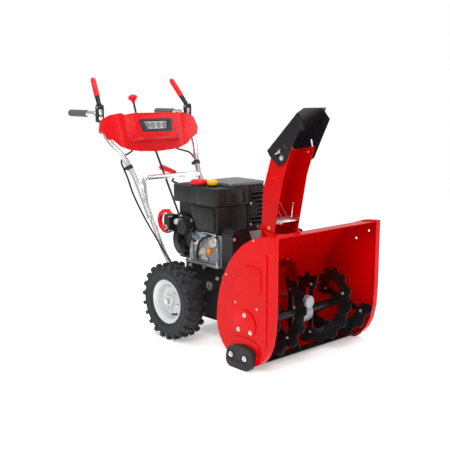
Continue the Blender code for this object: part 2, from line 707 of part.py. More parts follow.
def make_pulleys():
    profile = sheave_profile(IMPELLER_SHEAVE, IMPELLER_SHAFT_RADIUS + GAP, BELT_WIDTH / 2 + 0.005)
    part(turned("impeller_pulley", profile, (0, AUGER_BELT_Y, DRUM_Z), Y_AXIS), ZINC)
    crank = rod("engine_pulley", (CRANK_X, AUGER_BELT_Y - 0.010, CRANK_Z),
                (CRANK_X, ENGINE_FRONT_Y + 0.020, CRANK_Z), CRANK_RADIUS)
    sheaves = []
    for y in (AUGER_BELT_Y, DRIVE_BELT_Y):
        solid = [(0, BELT_WIDTH / 2 + 0.005)] + sheave_profile(ENGINE_SHEAVE, 0, BELT_WIDTH / 2 + 0.005)[1:-1]
        solid += [(0, -BELT_WIDTH / 2 - 0.005)]
        sheaves.append(turned(f"engine_sheave_{len(sheaves)}", solid, (CRANK_X, y, CRANK_Z), Y_AXIS, sides=14))
    part(crank, ZINC, joined=sheaves, origin=(CRANK_X, 0, CRANK_Z))
    make_belt("auger_belt", AUGER_BELT_Y, ENGINE_SHEAVE, (0, DRUM_Z), IMPELLER_SHEAVE)
    make_belt("drive_belt", DRIVE_BELT_Y, ENGINE_SHEAVE, (0, FRICTION_Z), FRICTION_SHEAVE)


# ---- frame, drive and wheels


def make_frame():
    half, back, bottom = FRAME_HALF_WIDTH, FRAME_BACK_Y, FRAME_BOTTOM_Z
    front = DRUM_BACK_Y + GAP
    tub = box("frame_housing", (-half, front, bottom), (half, back, DECK_Z))
    inner = half - SHEET
    bay = box("belt_bay", (-inner, front - 0.05, bottom - 0.05), (inner, BULKHEAD_Y, DECK_Z + 0.05), tool=True)
    room = box("drive_room", (-inner, BULKHEAD_Y + SHEET, bottom - 0.05), (inner, back - SHEET, DECK_Z - SHEET),
               tool=True)
    hex_y = FRICTION_PLATE_Y + FRICTION_PLATE_THICKNESS + DISC_RELEASE + FRICTION_WHEEL_RADIUS
    across = [
        ("axle_holes", WHEEL_Y, WHEEL_RADIUS, AXLE_RADIUS + RUNNING),
        ("hex_holes", hex_y, FRICTION_Z, HEX_SHAFT_RADIUS + RUNNING),
    ]
    holes = [rod(name, (-0.3, y, z), (0.3, y, z), radius, tool=True) for name, y, z, radius in across]
    holes.append(rod("friction_hole", (0, BULKHEAD_Y - 0.02, FRICTION_Z), (0, BULKHEAD_Y + 0.02, FRICTION_Z),
                     0.008 + RUNNING, tool=True))
    part(tub, BLACK_PAINT, cut=[bay, room] + holes)


def make_belt_cover():
    outline = [(-0.170, DECK_Z + GAP), (-0.170, 0.470), (-0.155, 0.490), (-0.085, 0.490), (-0.060, 0.440),
               (0.060, 0.375), (0.125, DECK_Z + GAP)]
    front, back = BELT_COVER_FRONT_Y, BULKHEAD_Y - GAP
    cover = plate("belt_cover", [outline], "Y", front, back)
    inner = [(x * 0.97 - 0.002, z - SHEET) for x, z in outline]
    inner[0] = (inner[0][0], DECK_Z - 0.02)
    inner[-1] = (inner[-1][0] - 0.004, DECK_Z - 0.02)
    room = plate("belt_cover_room", [inner], "Y", front + SHEET, back + 0.02, tool=True)
    part(cover, BLACK_PLASTIC, cut=[room])


def make_friction_drive():
    plate_front = FRICTION_PLATE_Y
    plate_back = plate_front + FRICTION_PLATE_THICKNESS
    disc = rod("friction_plate", (0, plate_front, FRICTION_Z), (0, plate_back, FRICTION_Z),
               FRICTION_PLATE_RADIUS, sides=28)
    shaft = rod("friction_plate_shaft", (0, DRIVE_BELT_Y - 0.010, FRICTION_Z), (0, plate_back - 0.001, FRICTION_Z),
                0.008)
    solid = [(0, BELT_WIDTH / 2 + 0.003)] + sheave_profile(FRICTION_SHEAVE, 0, BELT_WIDTH / 2 + 0.003)[1:-1]
    solid += [(0, -BELT_WIDTH / 2 - 0.003)]
    sheave = turned("friction_sheave", solid, (0, DRIVE_BELT_Y, FRICTION_Z), Y_AXIS)
    part(disc, ALUMINIUM, joined=[shaft, sheave], origin=(0, 0, FRICTION_Z))
    hex_y = plate_back + DISC_RELEASE + FRICTION_WHEEL_RADIUS
    reach = FRAME_HALF_WIDTH + 0.006
    hex_shaft = rod("hex_shaft", (-reach, hex_y, FRICTION_Z), (reach, hex_y, FRICTION_Z), HEX_SHAFT_RADIUS,
                    sides=6)
    part(hex_shaft, ZINC, origin=(0, hex_y, FRICTION_Z))
    wheel = rod("friction_wheel", (FRICTION_WHEEL_X - 0.006, hex_y, FRICTION_Z),
                (FRICTION_WHEEL_X + 0.006, hex_y, FRICTION_Z), FRICTION_WHEEL_RADIUS, sides=28)
    hub = rod("friction_wheel_hub", (FRICTION_WHEEL_X - 0.016, hex_y, FRICTION_Z),
              (FRICTION_WHEEL_X + 0.016, hex_y, FRICTION_Z), 0.016)
    bore = rod("friction_wheel_bore", (FRICTION_WHEEL_X - 0.03, hex_y, FRICTION_Z),
               (FRICTION_WHEEL_X + 0.03, hex_y, FRICTION_Z), HEX_SHAFT_RADIUS + GAP, tool=True, sides=6)
    part(wheel, RUBBER, joined=[hub], cut=[bore], origin=(FRICTION_WHEEL_X, hex_y, FRICTION_Z))


def make_wheel(name, side):
    centre = Vector((side * (WHEEL_OUTER_X - TYRE_WIDTH / 2), WHEEL_Y, WHEEL_RADIUS))
    half = TYRE_WIDTH / 2
    tread = WHEEL_RADIUS
    bead = RIM_RADIUS - 0.006
    tyre = [(bead, half - 0.016), (RIM_RADIUS + 0.012, half - 0.004), (tread - 0.030, half),
            (tread - 0.010, half - 0.006), (tread, half - 0.020), (tread, 0.020 - half),
            (tread - 0.010, 0.006 - half), (tread - 0.030, -half), (RIM_RADIUS + 0.012, 0.004 - half),
            (bead, 0.016 - half)]
    part(turned("tyre_" + name, tyre, centre, X_AXIS, sides=WHEEL_SIDES), RUBBER)
    barrel = bead - GAP
    hub, bore, web = 0.024, AXLE_RADIUS + GAP, 0.004
    dish = side * 0.006
    rim = [(bore, dish + 0.034), (hub, dish + 0.034), (hub, dish + web), (barrel - web, dish + web),
           (barrel - web, half - 0.014), (barrel, half - 0.014), (barrel, 0.014 - half),
           (barrel - web, 0.014 - half), (barrel - web, dish - web), (hub, dish - web), (hub, dish - 0.034),
           (bore, dish - 0.034)]
    part(turned("rim_" + name, rim, centre, X_AXIS, sides=WHEEL_SIDES), RIM_PAINT)


def make_axle():
    reach = WHEEL_OUTER_X - 0.006
    axle = rod("axle", (-reach, WHEEL_Y, WHEEL_RADIUS), (reach, WHEEL_Y, WHEEL_RADIUS), AXLE_RADIUS)
    part(axle, ZINC, origin=(0, WHEEL_Y, WHEEL_RADIUS))


# ---- engine


def make_engine():
    base = DECK_Z + GAP
    block = box("engine_block", (ENGINE_RIGHT_X, ENGINE_FRONT_Y, base), (ENGINE_LEFT_X, ENGINE_BACK_Y, BLOCK_TOP_Z))
    nose = rod("crank_hole", (CRANK_X, ENGINE_FRONT_Y - 0.01, CRANK_Z), (CRANK_X, ENGINE_FRONT_Y + 0.022, CRANK_Z),
               CRANK_RADIUS + RUNNING, tool=True)
    well = rod("oil_filler", DIPSTICK - 0.014 * X_AXIS, DIPSTICK + 0.030 * X_AXIS, 0.0085, tool=True)
    part(block, ALUMINIUM, cut=[nose, well])

    head_x = ENGINE_LEFT_X + GAP
    head = box("cylinder_head", (head_x, 0.490, 0.335), (head_x + 0.045, 0.600, 0.445))
    slots = []
    for i in range(6):
        z = 0.3475 + 0.0165 * i
        slots.append(box(f"fin_slot_{i}", (head_x + 0.012, 0.48, z), (head_x + 0.06, 0.61, z + 0.009), tool=True))
    part(head, ALUMINIUM, cut=slots)

    near_back = FRAME_BACK_Y + SHEET
    fan = rod("recoil_housing", (CRANK_X, near_back, CRANK_Z), (CRANK_X, RECOIL_BACK_Y, CRANK_Z), RECOIL_RADIUS,
              sides=28)
    shroud = box("blower_shroud", (-0.150, ENGINE_BACK_Y + GAP, DECK_Z + 0.004),
                 (ENGINE_LEFT_X, RECOIL_BACK_Y - 0.004, TANK_BOTTOM_Z - GAP))
    guide = rod("rope_guide", (RECOIL_GRIP_X, RECOIL_BACK_Y - 0.002, RECOIL_GRIP_Z),
                (RECOIL_GRIP_X, RECOIL_BACK_Y + 0.060, RECOIL_GRIP_Z), 0.012, end_radius=0.009)
    part(fan, BLACK_PLASTIC, joined=[shroud, guide])

    air = box("carburettor_cover", (-0.185, 0.456, BLOCK_TOP_Z + GAP), (TANK_X[1], 0.633, TANK_BOTTOM_Z - GAP))
    part(air, BLACK_PLASTIC)

    guard_x = TANK_X[1] + 0.004
    guard = box("muffler_guard", (guard_x, 0.455, BLOCK_TOP_Z + 0.006), (0.105, ENGINE_BACK_Y - GAP, 0.645))
    room = box("muffler_room", (guard_x + SHEET, 0.455 + SHEET, BLOCK_TOP_Z - 0.01),
               (0.105 - SHEET, ENGINE_BACK_Y + 0.01, 0.645 - SHEET), tool=True)
    louvres = []
    for i in range(8):
        z = 0.485 + 0.018 * i
        louvres.append(box(f"louvre_{i}", (guard_x + 0.018, 0.44, z), (0.088, 0.465, z + 0.007), tool=True))
    part(guard, BLACK_PLASTIC, cut=[room] + louvres)

    starter = rod("starter_motor", (-0.200, 0.668, 0.468), (ENGINE_RIGHT_X - GAP, 0.668, 0.468), 0.033)
    part(starter, BLACK_PLASTIC)

    switch = box("starter_switch_box", (BUTTON.x, RECOIL_BACK_Y + GAP, 0.437), (-0.155, 0.785, 0.512))
    pocket = rod("button_pocket", BUTTON - 0.01 * X_AXIS, BUTTON + 0.009 * X_AXIS, BUTTON_RADIUS + RUNNING,
                 tool=True)
    part(switch, BLACK_PLASTIC, cut=[pocket])
    button = rod("start_button", BUTTON - 0.006 * X_AXIS, BUTTON + 0.004 * X_AXIS, BUTTON_RADIUS)
    part(button, RED_PLASTIC, origin=BUTTON)


def make_fuel_tank():
    x_low, x_high = TANK_X
    y_low, y_high = TANK_Y
    outline = [(y_low, TANK_BOTTOM_Z + 0.004), (y_low, TANK_TOP_Z - 0.006), (y_low + 0.006, TANK_TOP_Z),
               (y_high - 0.010, TANK_TOP_Z), (y_high, TANK_TOP_Z - 0.010), (y_high, TANK_BOTTOM_Z),
               (y_low + 0.004, TANK_BOTTOM_Z)]
    part(plate("fuel_tank", [outline], "X", x_low, x_high), BLACK_PLASTIC)


def make_caps():
    for name, place, radius, height, material in (
        ("fuel_cap", FUEL_CAP, FUEL_CAP_RADIUS, 0.026, RED_PLASTIC),
        ("oil_cap", OIL_CAP, OIL_CAP_RADIUS, 0.028, YELLOW_PLASTIC),
    ):
        profile = [(0, height), (radius - 0.004, height), (radius, height - 0.004), (radius, 0.006),
                   (radius - 0.006, GAP), (0, GAP)]
        part(turned(name, profile, place, Z_AXIS, sides=16), material)
    profile = [(0, 0.022), (0.010, 0.022), (0.0125, 0.019), (0.0125, GAP), (0.0080, GAP), (0.0080, -0.020),
               (0.0030, -0.021), (0, -0.021)]
    part(turned("dipstick", profile, DIPSTICK, -X_AXIS, sides=12), ORANGE_PLASTIC)


def make_recoil_handle():
    """A D-shaped pull behind the starter, drawn straight back on its rope."""
    y, z = RECOIL_BACK_Y + 0.062, RECOIL_GRIP_Z
    outer = [(y, z - 0.030), (y, z + 0.030), (y + 0.030, z + 0.056), (y + 0.062, z + 0.052),
             (y + 0.090, z + 0.032), (y + 0.102, z), (y + 0.090, z - 0.032), (y + 0.062, z - 0.052),
             (y + 0.030, z - 0.056)]
    inner = [(y + 0.016, z - 0.028), (y + 0.016, z + 0.028), (y + 0.036, z + 0.040), (y + 0.060, z + 0.036),
             (y + 0.078, z + 0.022), (y + 0.086, z), (y + 0.078, z - 0.022), (y + 0.060, z - 0.036),
             (y + 0.036, z - 0.040)]
    handle = plate("recoil_handle", [outer, inner], "X", RECOIL_GRIP_X - 0.009, RECOIL_GRIP_X + 0.009)
    part(handle, RED_PLASTIC, origin=(RECOIL_GRIP_X, y, z))


# ---- chute


def trough(name, outline, back, half_width, wall, tool=False):
    """A channel with two side walls of the given (y, z) outline and a back wall along the back path."""
    solid = plate(name, [outline], "X", -half_width, half_width, tool)
    lower = Vector(back[0]) - (Vector(back[1]) - Vector(back[0])).normalized() * 0.06
    upper = Vector(back[-1]) + (Vector(back[-1]) - Vector(back[-2])).normalized() * 0.12
    inner = offset_path([tuple(lower)] + list(back[1:-1]) + [tuple(upper)], wall)
    away = offset_path([inner[0], inner[-1]], 0.30)
    room = plate(name + "_room", [inner + away[::-1]], "X", wall - half_width, half_width - wall, tool=True)
    return solid, room


def make_chute():
    outline = list(CHUTE_FRONT) + list(CHUTE_REAR[::-1])
    low_front = (CHUTE_FRONT[0][0] + 0.003, along_spout(-0.010).z)
    low_rear = (CHUTE_REAR[0][0] + 0.001, along_spout(-0.010).z)
    solid, room = trough("chute", [low_front] + outline + [low_rear], [low_rear] + list(CHUTE_REAR),
                         CHUTE_HALF_WIDTH, SHEET)
    ring = rod("chute_ring", along_spout(GAP), along_spout(GAP + RING_THICKNESS), RING_RADIUS, sides=28)
    trim = rod("chute_foot_trim", along_spout(-0.05), along_spout(GAP), 0.15, tool=True)
    mouth = rod("chute_mouth", along_spout(-0.02), along_spout(0.02), CHUTE_HALF_WIDTH - 0.006, tool=True)
    boolean(solid, [room], "DIFFERENCE")
    boolean(solid, [ring], "UNION")
    part(solid, RED, cut=[trim, mouth], origin=SPOUT_TOP)


def make_deflector():
    outline = list(DEFLECTOR_FRONT) + [DEFLECTOR_REAR[0], DEFLECTOR_HEEL]
    solid, room = trough("chute_deflector", outline, DEFLECTOR_REAR, DEFLECTOR_HALF_WIDTH, SHEET)
    cos, sin = math.cos(SLOT_ANGLE), math.sin(SLOT_ANGLE)
    points = []
    for u, v in ring_points((0, 0), SLOT_RADIUS, 12, SLOT_HALF_LENGTH):
        points.append((SLOT_PLACE[0] + u * cos - v * sin, SLOT_PLACE[1] + u * sin + v * cos))
    reach = DEFLECTOR_HALF_WIDTH + 0.02
    slot = plate("deflector_slot", [points], "X", -reach, reach, tool=True)
    bolt = rod("deflector_bolt_hole", DEFLECTOR_PIVOT - reach * X_AXIS, DEFLECTOR_PIVOT + reach * X_AXIS, 0.0045,
               tool=True, sides=12)
    lip = Vector((0, *DEFLECTOR_REAR[1]))
    down = (Vector((0, *DEFLECTOR_REAR[0])) - lip).normalized()
    place = Matrix.Translation(lip) @ Matrix((X_AXIS, down, X_AXIS.cross(down))).transposed().to_4x4()
    corners = []
    for side in (-1, 1):
        corner = plate("lip_corner", [[(side * x, along) for x, along in LIP_CORNER]], "Z", -0.10, 0.02, tool=True)
        corner.data.transform(place)
        corners.append(corner)
    part(solid, BLACK_PLASTIC, cut=[room, slot, bolt] + corners, origin=DEFLECTOR_PIVOT)


def make_chute_crank():
    line = (CRANK_REAR - CRANK_FRONT).normalized()
    path = rounded([CRANK_FRONT, CRANK_REAR, CRANK_GRIP, CRANK_GRIP + (CRANK_GRIP_LENGTH + 0.010) * line], 0.02)
    bar = as_mesh(tube("chute_crank", path, 0.005))
    worm = rod("crank_worm", CRANK_FRONT + 0.012 * line, CRANK_FRONT + 0.056 * line, WORM_OF_CRANK_RADIUS)
    part(bar, BLACK_PAINT, joined=[worm], origin=CRANK_FRONT)
    start = CRANK_GRIP + 0.020 * line
    half = CRANK_GRIP_LENGTH / 2
    bore = 0.005 + GAP
    profile = [(0, half), (0.012, half), (0.015, half - 0.008), (0.015, 0.010 - half), (0.010, -half),
               (bore, -half), (bore, half - 0.009), (0, half - 0.009)]
    part(turned("crank_grip", profile, start + half * line, line, sides=12), RED_PLASTIC)


# ---- handles, console and controls


def make_lower_handle():
    leg = [(0.690, 0.188), (0.735, 0.205), (0.803, 0.287), (0.847, 0.336), (0.891, 0.408), (0.942, 0.485),
           (0.972, 0.535), (0.985, 0.600), (CROSSBAR_Y, CROSSBAR_Z)]
    right = [(-LEG_X, y, z) for y, z in leg]
    left = [(LEG_X, y, z) for y, z in leg[::-1]]
    part(as_mesh(tube("lower_handle", rounded(right + left, 0.05, 3), TUBE_RADIUS, 2)), CHROME)


def upper_handle_path(side):
    path = [(0.190, 0.908, 0.475), (0.190, 0.942, 0.530), (0.190, 0.985, 0.600), (0.191, 1.018, 0.651),
            (0.199, 1.039, 0.690), (0.210, 1.062, 0.733), (0.231, 1.090, 0.774), (0.247, 1.122, 0.803),
            (0.256, 1.152, 0.840), (GRIP_X, 1.178, 0.900), (GRIP_X, 1.215, HANDLE_HEIGHT),
            (GRIP_X, OVERALL_LENGTH - 0.004, HANDLE_HEIGHT)]
    return rounded([(side * x, y, z) for x, y, z in path], 0.08, 3)


def make_upper_handle(name, side):
    bar = as_mesh(tube("upper_handle_" + name, upper_handle_path(side), TUBE_RADIUS, 2))
    ears = []
    for shift in (-LEVER_EAR_GAP / 2 - 0.003, LEVER_EAR_GAP / 2):
        x = side * LEVER_PIVOT.x + shift
        low, high = LEVER_PIVOT - Vector((0, 0.006, 0.070)), LEVER_PIVOT + Vector((0, 0.010, 0.009))
        ears.append(box(f"lever_ear_{name}", (x, low.y, low.z), (x + 0.003, high.y, high.z)))
    part(bar, CHROME, joined=ears)
    half = GRIP_LENGTH / 2
    bore = TUBE_RADIUS + GAP
    profile = [(0, half), (GRIP_RADIUS - 0.004, half), (GRIP_RADIUS, half - 0.004), (GRIP_RADIUS, 0.002 - half),
               (GRIP_RADIUS - 0.002, -half), (bore, -half), (bore, half - 0.0037), (0, half - 0.0037)]
    place = (side * GRIP_X, OVERALL_LENGTH - half, HANDLE_HEIGHT)
    part(turned("grip_" + name, profile, place, Y_AXIS, sides=16), FOAM)


def console_outline():
    """The console's front edge in (x, height above its foot, measured up the tilted face)."""
    wide = CONSOLE_HALF_WIDTH
    right = [(0.100, 0.002), (0.150, 0.010), (0.200, 0.028), (0.235, 0.060), (0.270, 0.072), (wide, 0.110),
             (0.270, 0.162), (0.232, 0.180), (0.165, 0.189), (0.150, 0.181)]
    left = [(-x, z) for x, z in right[::-1]]
    return [(0, -0.004)] + right + left


def console_place():
    """The console's own frame: X across, Y out of the back, Z up its face."""
    return Matrix.Translation(CONSOLE_FOOT) @ Matrix.Rotation(-CONSOLE_TILT, 4, "X")


def lamp_outline(margin):
    top, bottom = 0.102 + margin, 0.086 + margin
    return [(-top, 0.148 + margin), (-bottom, 0.084 - margin), (bottom, 0.084 - margin), (top, 0.148 + margin)]


def bulge_outline(inset):
    low, high = BULGE_Z[0] + inset, BULGE_Z[1] - inset
    half = BULGE_HALF_WIDTH - inset
    return [(-half, low), (half, low), (half, high), (-half, high)]


def make_console():
    """A moulded cover, open behind and below, with a bulge on its face that holds the lamp."""
    place = console_place()
    shell = plate("control_console", [console_outline()], "Y", 0, CONSOLE_DEPTH)
    shell.data.transform(place)
    inner = []
    for x, z in console_outline():
        inner.append((x * (1 - SHEET / CONSOLE_HALF_WIDTH) if z > 0.08 else x * 0.995, z - SHEET if z > 0.08 else z - 0.05))
    room = plate("console_room", [inner], "Y", SHEET, CONSOLE_DEPTH + 0.05, tool=True)
    room.data.transform(place)
    bulge = plate("console_bulge", [bulge_outline(0)], "Y", -BULGE_DEPTH, SHEET / 2)
    bulge.data.transform(place)
    bulge_room = plate("bulge_room", [bulge_outline(SHEET)], "Y", SHEET - BULGE_DEPTH, 2 * SHEET, tool=True)
    bulge_room.data.transform(place)
    window = plate("lamp_window", [lamp_outline(RUNNING)], "Y", -BULGE_DEPTH - 0.02, 0.02, tool=True)
    window.data.transform(place)
    slot = box("shift_slot", (SHIFT_KNOB.x - 0.012, 1.170, 0.900), (SHIFT_KNOB.x + 0.012, 1.250, 0.990), tool=True)
    passages = [
        as_mesh(tube("handle_passage", upper_handle_path(side), TUBE_RADIUS + 0.004, 2, tool=True)) for side in (-1, 1)
    ]
    part(shell, RED_PLASTIC, joined=[bulge], cut=[room, bulge_room, window, slot] + passages)
    lamp = plate("headlight", [lamp_outline(0)], "Y", -BULGE_DEPTH - 0.0015, LAMP_DEPTH - BULGE_DEPTH)
    lamp.data.transform(place)
    part(lamp, CLEAR)


def make_clutch_lever(name, side):
    pivot = Vector((side * LEVER_PIVOT.x, LEVER_PIVOT.y, LEVER_PIVOT.z))
    tip = Vector((side * LEVER_TIP.x, LEVER_TIP.y, LEVER_TIP.z))
    arm = rod("clutch_lever_" + name, pivot, tip, LEVER_RADIUS, sides=16)
    half = LEVER_HUB_LENGTH / 2
    hub = rod(f"lever_hub_{name}", pivot - half * X_AXIS, pivot + half * X_AXIS, 0.009)
    part(arm, BLACK_PLASTIC, joined=[hub], origin=pivot)


def make_shift():
    lever = rod("shift_lever", SHIFT_PIVOT, SHIFT_KNOB, 0.005, sides=12)
    cross = rod("shift_cross", SHIFT_PIVOT - 0.020 * X_AXIS, SHIFT_PIVOT + 0.036 * X_AXIS, 0.008, sides=16)
    foot = SHIFT_ROD_TOP + 0.011 * (SHIFT_ROD_TOP - SHIFT_ROD_FOOT).normalized()
    arm = rod("shift_arm", Vector((0, SHIFT_PIVOT.y, SHIFT_PIVOT.z)), foot, 0.005, sides=12)
    part(lever, BLACK_PAINT, joined=[cross, arm], origin=SHIFT_PIVOT)
    up = (SHIFT_KNOB - SHIFT_PIVOT).normalized()
    profile = [(0, 0.020), (0.010, 0.018), (0.017, 0.010), (0.019, 0.0), (0.015, -0.010), (0.008, -0.016),
               (0.0045, -0.022), (0, -0.022)]
    knob = turned("shift_knob", profile, SHIFT_KNOB + 0.0225 * up, up, sides=14)
    part(knob, RED_PLASTIC)
    part(rod("shift_rod", SHIFT_ROD_FOOT, SHIFT_ROD_TOP, 0.005, sides=12), BLACK_PAINT, origin=SHIFT_ROD_TOP)


def make_clutch_cable(name, side):
    """A cable from inside the console, down the handle and into the side of the frame."""
    route = [(0.100, 1.140, 0.800), (0.125, 1.122, 0.770), (0.165, 1.105, 0.757), (0.200, 1.098, 0.748),
             (0.2195, 1.088, 0.722), (0.2170, 1.066, 0.690), (0.2105, 1.042, 0.642), (0.2090, 1.018, 0.590),
             (0.2090, 0.965, 0.525), (0.2040, 0.915, 0.462), (0.1900, 0.868, 0.398), (0.1860, 0.822, 0.345),
             (0.1830, 0.772, 0.300), (0.1760, 0.715, 0.248), (0.1640, 0.682, 0.226), (0.1560, 0.682, 0.225),
             (FRAME_HALF_WIDTH + 2 * GAP, 0.682, 0.225)]
    points = smooth_path([(side * x, y, z) for x, y, z in route], 2)
    part(tube("clutch_cable_" + name, points, 0.003, 2), CABLE)


make_auger_housing()
make_scraper_bar()
make_auger_shaft()
make_gearbox()
make_impeller_housing()
make_impeller()
make_impeller_shaft()
make_pulleys()
make_frame()
make_belt_cover()
make_friction_drive()
make_axle()
make_engine()
make_fuel_tank()
make_caps()
make_recoil_handle()
make_chute()
make_deflector()
make_chute_crank()
make_lower_handle()
make_console()
make_shift()
for side_name, side_sign in (("right", -1), ("left", 1)):
    make_side_plate("side_plate_" + side_name, side_sign)
    make_skid_shoe("skid_shoe_" + side_name, side_sign)
    make_auger("auger_" + side_name, side_sign)
    make_wheel(side_name, side_sign)
    make_upper_handle(side_name, side_sign)
    make_clutch_lever(side_name, side_sign)
    make_clutch_cable(side_name, side_sign)
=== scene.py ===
"""A walk-behind two-stage snow thrower: paint, mouldings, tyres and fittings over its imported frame."""

import json
import math

import bpy
from mathutils import Matrix, Vector

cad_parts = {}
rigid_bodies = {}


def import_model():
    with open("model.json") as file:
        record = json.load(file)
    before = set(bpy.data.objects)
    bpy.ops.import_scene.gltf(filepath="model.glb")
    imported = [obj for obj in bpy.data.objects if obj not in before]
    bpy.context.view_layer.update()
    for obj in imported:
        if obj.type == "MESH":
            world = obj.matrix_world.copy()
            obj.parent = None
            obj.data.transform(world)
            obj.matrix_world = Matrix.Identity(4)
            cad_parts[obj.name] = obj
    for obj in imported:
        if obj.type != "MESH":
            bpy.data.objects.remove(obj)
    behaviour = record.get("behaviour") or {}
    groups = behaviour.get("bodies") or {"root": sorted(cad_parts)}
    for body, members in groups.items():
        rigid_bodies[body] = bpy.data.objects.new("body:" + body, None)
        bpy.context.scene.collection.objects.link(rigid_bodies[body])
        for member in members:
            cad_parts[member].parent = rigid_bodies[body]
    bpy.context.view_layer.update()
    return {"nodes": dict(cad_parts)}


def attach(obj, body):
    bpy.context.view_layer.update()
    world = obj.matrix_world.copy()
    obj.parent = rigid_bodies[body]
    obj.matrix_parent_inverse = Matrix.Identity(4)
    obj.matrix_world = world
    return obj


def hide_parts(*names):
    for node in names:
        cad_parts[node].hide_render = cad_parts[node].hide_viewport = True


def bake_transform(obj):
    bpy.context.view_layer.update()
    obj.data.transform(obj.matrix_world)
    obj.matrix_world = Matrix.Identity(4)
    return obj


for startup in list(bpy.data.objects):
    bpy.data.objects.remove(startup, do_unlink=True)

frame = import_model()

# ---- camera
# A long lens a little above the bonnet, out past the operator's right-hand front corner.

CAMERA_AT = (-2.2607, -2.6440, 1.0473)
CAMERA_AZIMUTH = math.radians(-41.81)
CAMERA_ELEVATION = math.radians(9.78)
bpy.ops.object.camera_add(location=CAMERA_AT, rotation=(math.radians(90) - CAMERA_ELEVATION, 0,
                                                        CAMERA_AZIMUTH))
camera = bpy.context.object
camera.data.lens = 62.2
camera.data.clip_end = 60
bpy.context.scene.camera = camera

# ---- studio
# A pale floor that glows a little, four broad soft lamps, and a white tent all round.
# The tent looks pure white, and lights the machine at half that strength.

bpy.ops.mesh.primitive_circle_add(vertices=96, radius=5, fill_type="NGON", location=(0, 0, -0.0005))
floor = bpy.context.object
floor.name = "floor"
floor_finish = bpy.data.materials.new("studio_floor")
floor_finish.use_nodes = True
floor_shader = floor_finish.node_tree.nodes["Principled BSDF"]
floor_shader.inputs["Base Color"].default_value = (0.97, 0.97, 0.97, 1)
floor_shader.inputs["Specular IOR Level"].default_value = 0.0
floor_shader.inputs["Emission Color"].default_value = (1.0, 1.0, 1.0, 1)
floor_shader.inputs["Emission Strength"].default_value = 0.35
floor.data.materials.append(floor_finish)

LAMPS = (
    ("key", (-2.6, -2.2, 3.4), 2.6, 105),
    ("side", (3.2, -1.6, 2.2), 2.0, 30),
    ("top", (0.2, 0.6, 3.8), 3.0, 95),
    ("front", (0.4, -4.2, 1.3), 1.8, 8),
)
for name, place, side, watts in LAMPS:
    bpy.ops.object.light_add(type="AREA", location=place)
    lamp = bpy.context.object
    lamp.name = "lamp_" + name
    lamp.data.energy = watts
    lamp.data.size = side
    lamp.rotation_euler = (Vector((0, -0.1, 0.5)) - Vector(place)).to_track_quat("-Z", "Y").to_euler()

TENT_LIGHT = 0.5
tent = bpy.data.worlds.new("tent")
bpy.context.scene.world = tent
bpy.context.scene.view_settings.view_transform = "Standard"
tent.use_nodes = True
tent.node_tree.nodes["Background"].inputs["Color"].default_value = (1.0, 1.0, 1.0, 1)
seen = tent.node_tree.nodes.new("ShaderNodeLightPath")
glow = tent.node_tree.nodes.new("ShaderNodeMath")
glow.operation = "MULTIPLY_ADD"
glow.inputs[1].default_value = 1.0 - TENT_LIGHT
glow.inputs[2].default_value = TENT_LIGHT
tent.node_tree.links.new(seen.outputs["Is Camera Ray"], glow.inputs[0])
tent.node_tree.links.new(glow.outputs[0], tent.node_tree.nodes["Background"].inputs["Strength"])

# ---- pressed intake housing
# The wrap round the augers is one rolled steel sheet, and the drum behind it is welded on.
# Both are sprayed bright red, inside and out, with the faint ripple that thick gloss dries with.


class Flow:
    """A value on its way through a finish's nodes. Arithmetic on it adds Math nodes."""

    def __init__(self, nodes, plug):
        self.nodes = nodes
        self.plug = plug

    def math(self, operation, *values):
        node = self.nodes.new("ShaderNodeMath")
        node.operation = operation
        for entry, value in zip(node.inputs, values):
            feed(entry, value)
        return Flow(self.nodes, node.outputs[0])

    def __add__(self, other):
        return self.math("ADD", self, other)

    __radd__ = __add__

    def __sub__(self, other):
        return self.math("SUBTRACT", self, other)

    def __rsub__(self, other):
        return self.math("SUBTRACT", other, self)

    def __mul__(self, other):
        return self.math("MULTIPLY", self, other)

    __rmul__ = __mul__


def feed(entry, value):
    """Plugs a flow into an entry, or sets the entry to a plain value."""
    if isinstance(value, Flow):
        value.nodes.id_data.links.new(value.plug, entry)
    elif isinstance(value, (tuple, list)) and len(value) == 3 and len(entry.default_value) == 4:
        entry.default_value = (*value, 1)
    else:
        entry.default_value = value


class Finish:
    """One finish: a Principled shader, and the nodes that feed it."""

    def __init__(self, name, **fixed):
        self.material = bpy.data.materials.new(name)
        self.material.use_nodes = True
        self.nodes = self.material.node_tree.nodes
        self.shader = self.nodes["Principled BSDF"]
        self.place = self.add("TexCoord", out="Object")
        for entry, value in fixed.items():
            self.set(entry.replace("_", " "), value)

    def add(self, kind, settings=(), sockets=(), out=0):
        node = self.nodes.new("ShaderNode" + kind)
        for key, value in dict(settings).items():
            if key == "stops":
                for stop, (at, colour) in zip(ramp_stops(node, len(value)), value):
                    stop.position = at
                    stop.color = (*colour, 1)
            else:
                setattr(node, key, value)
        for key, value in dict(sockets).items():
            feed(node.inputs[key], value)
        return Flow(self.nodes, node.outputs[out])

    def set(self, entry, value):
        feed(self.shader.inputs[entry], value)

    def noise(self, scale, detail=2.0, place=None):
        sockets = {"Vector": place or self.place, "Scale": scale, "Detail": detail}
        return self.add("TexNoise", sockets=sockets)

    def stretched(self, amounts):
        return self.add("Mapping", sockets={"Vector": self.place, "Scale": amounts})

    def between(self, share, first, second):
        sockets = {"Factor": share, 6: first, 7: second}
        return self.add("Mix", {"data_type": "RGBA"}, sockets, out=2)

    def limited(self, value, low, high, to_low=0.0, to_high=1.0):
        sockets = {0: value, 1: low, 2: high, 3: to_low, 4: to_high}
        return self.add("MapRange", sockets=sockets)

    def bump(self, height, depth, strength=1.0):
        self.set("Normal", self.add("Bump", sockets={"Strength": strength, "Distance": depth,
                                                     "Height": height}))


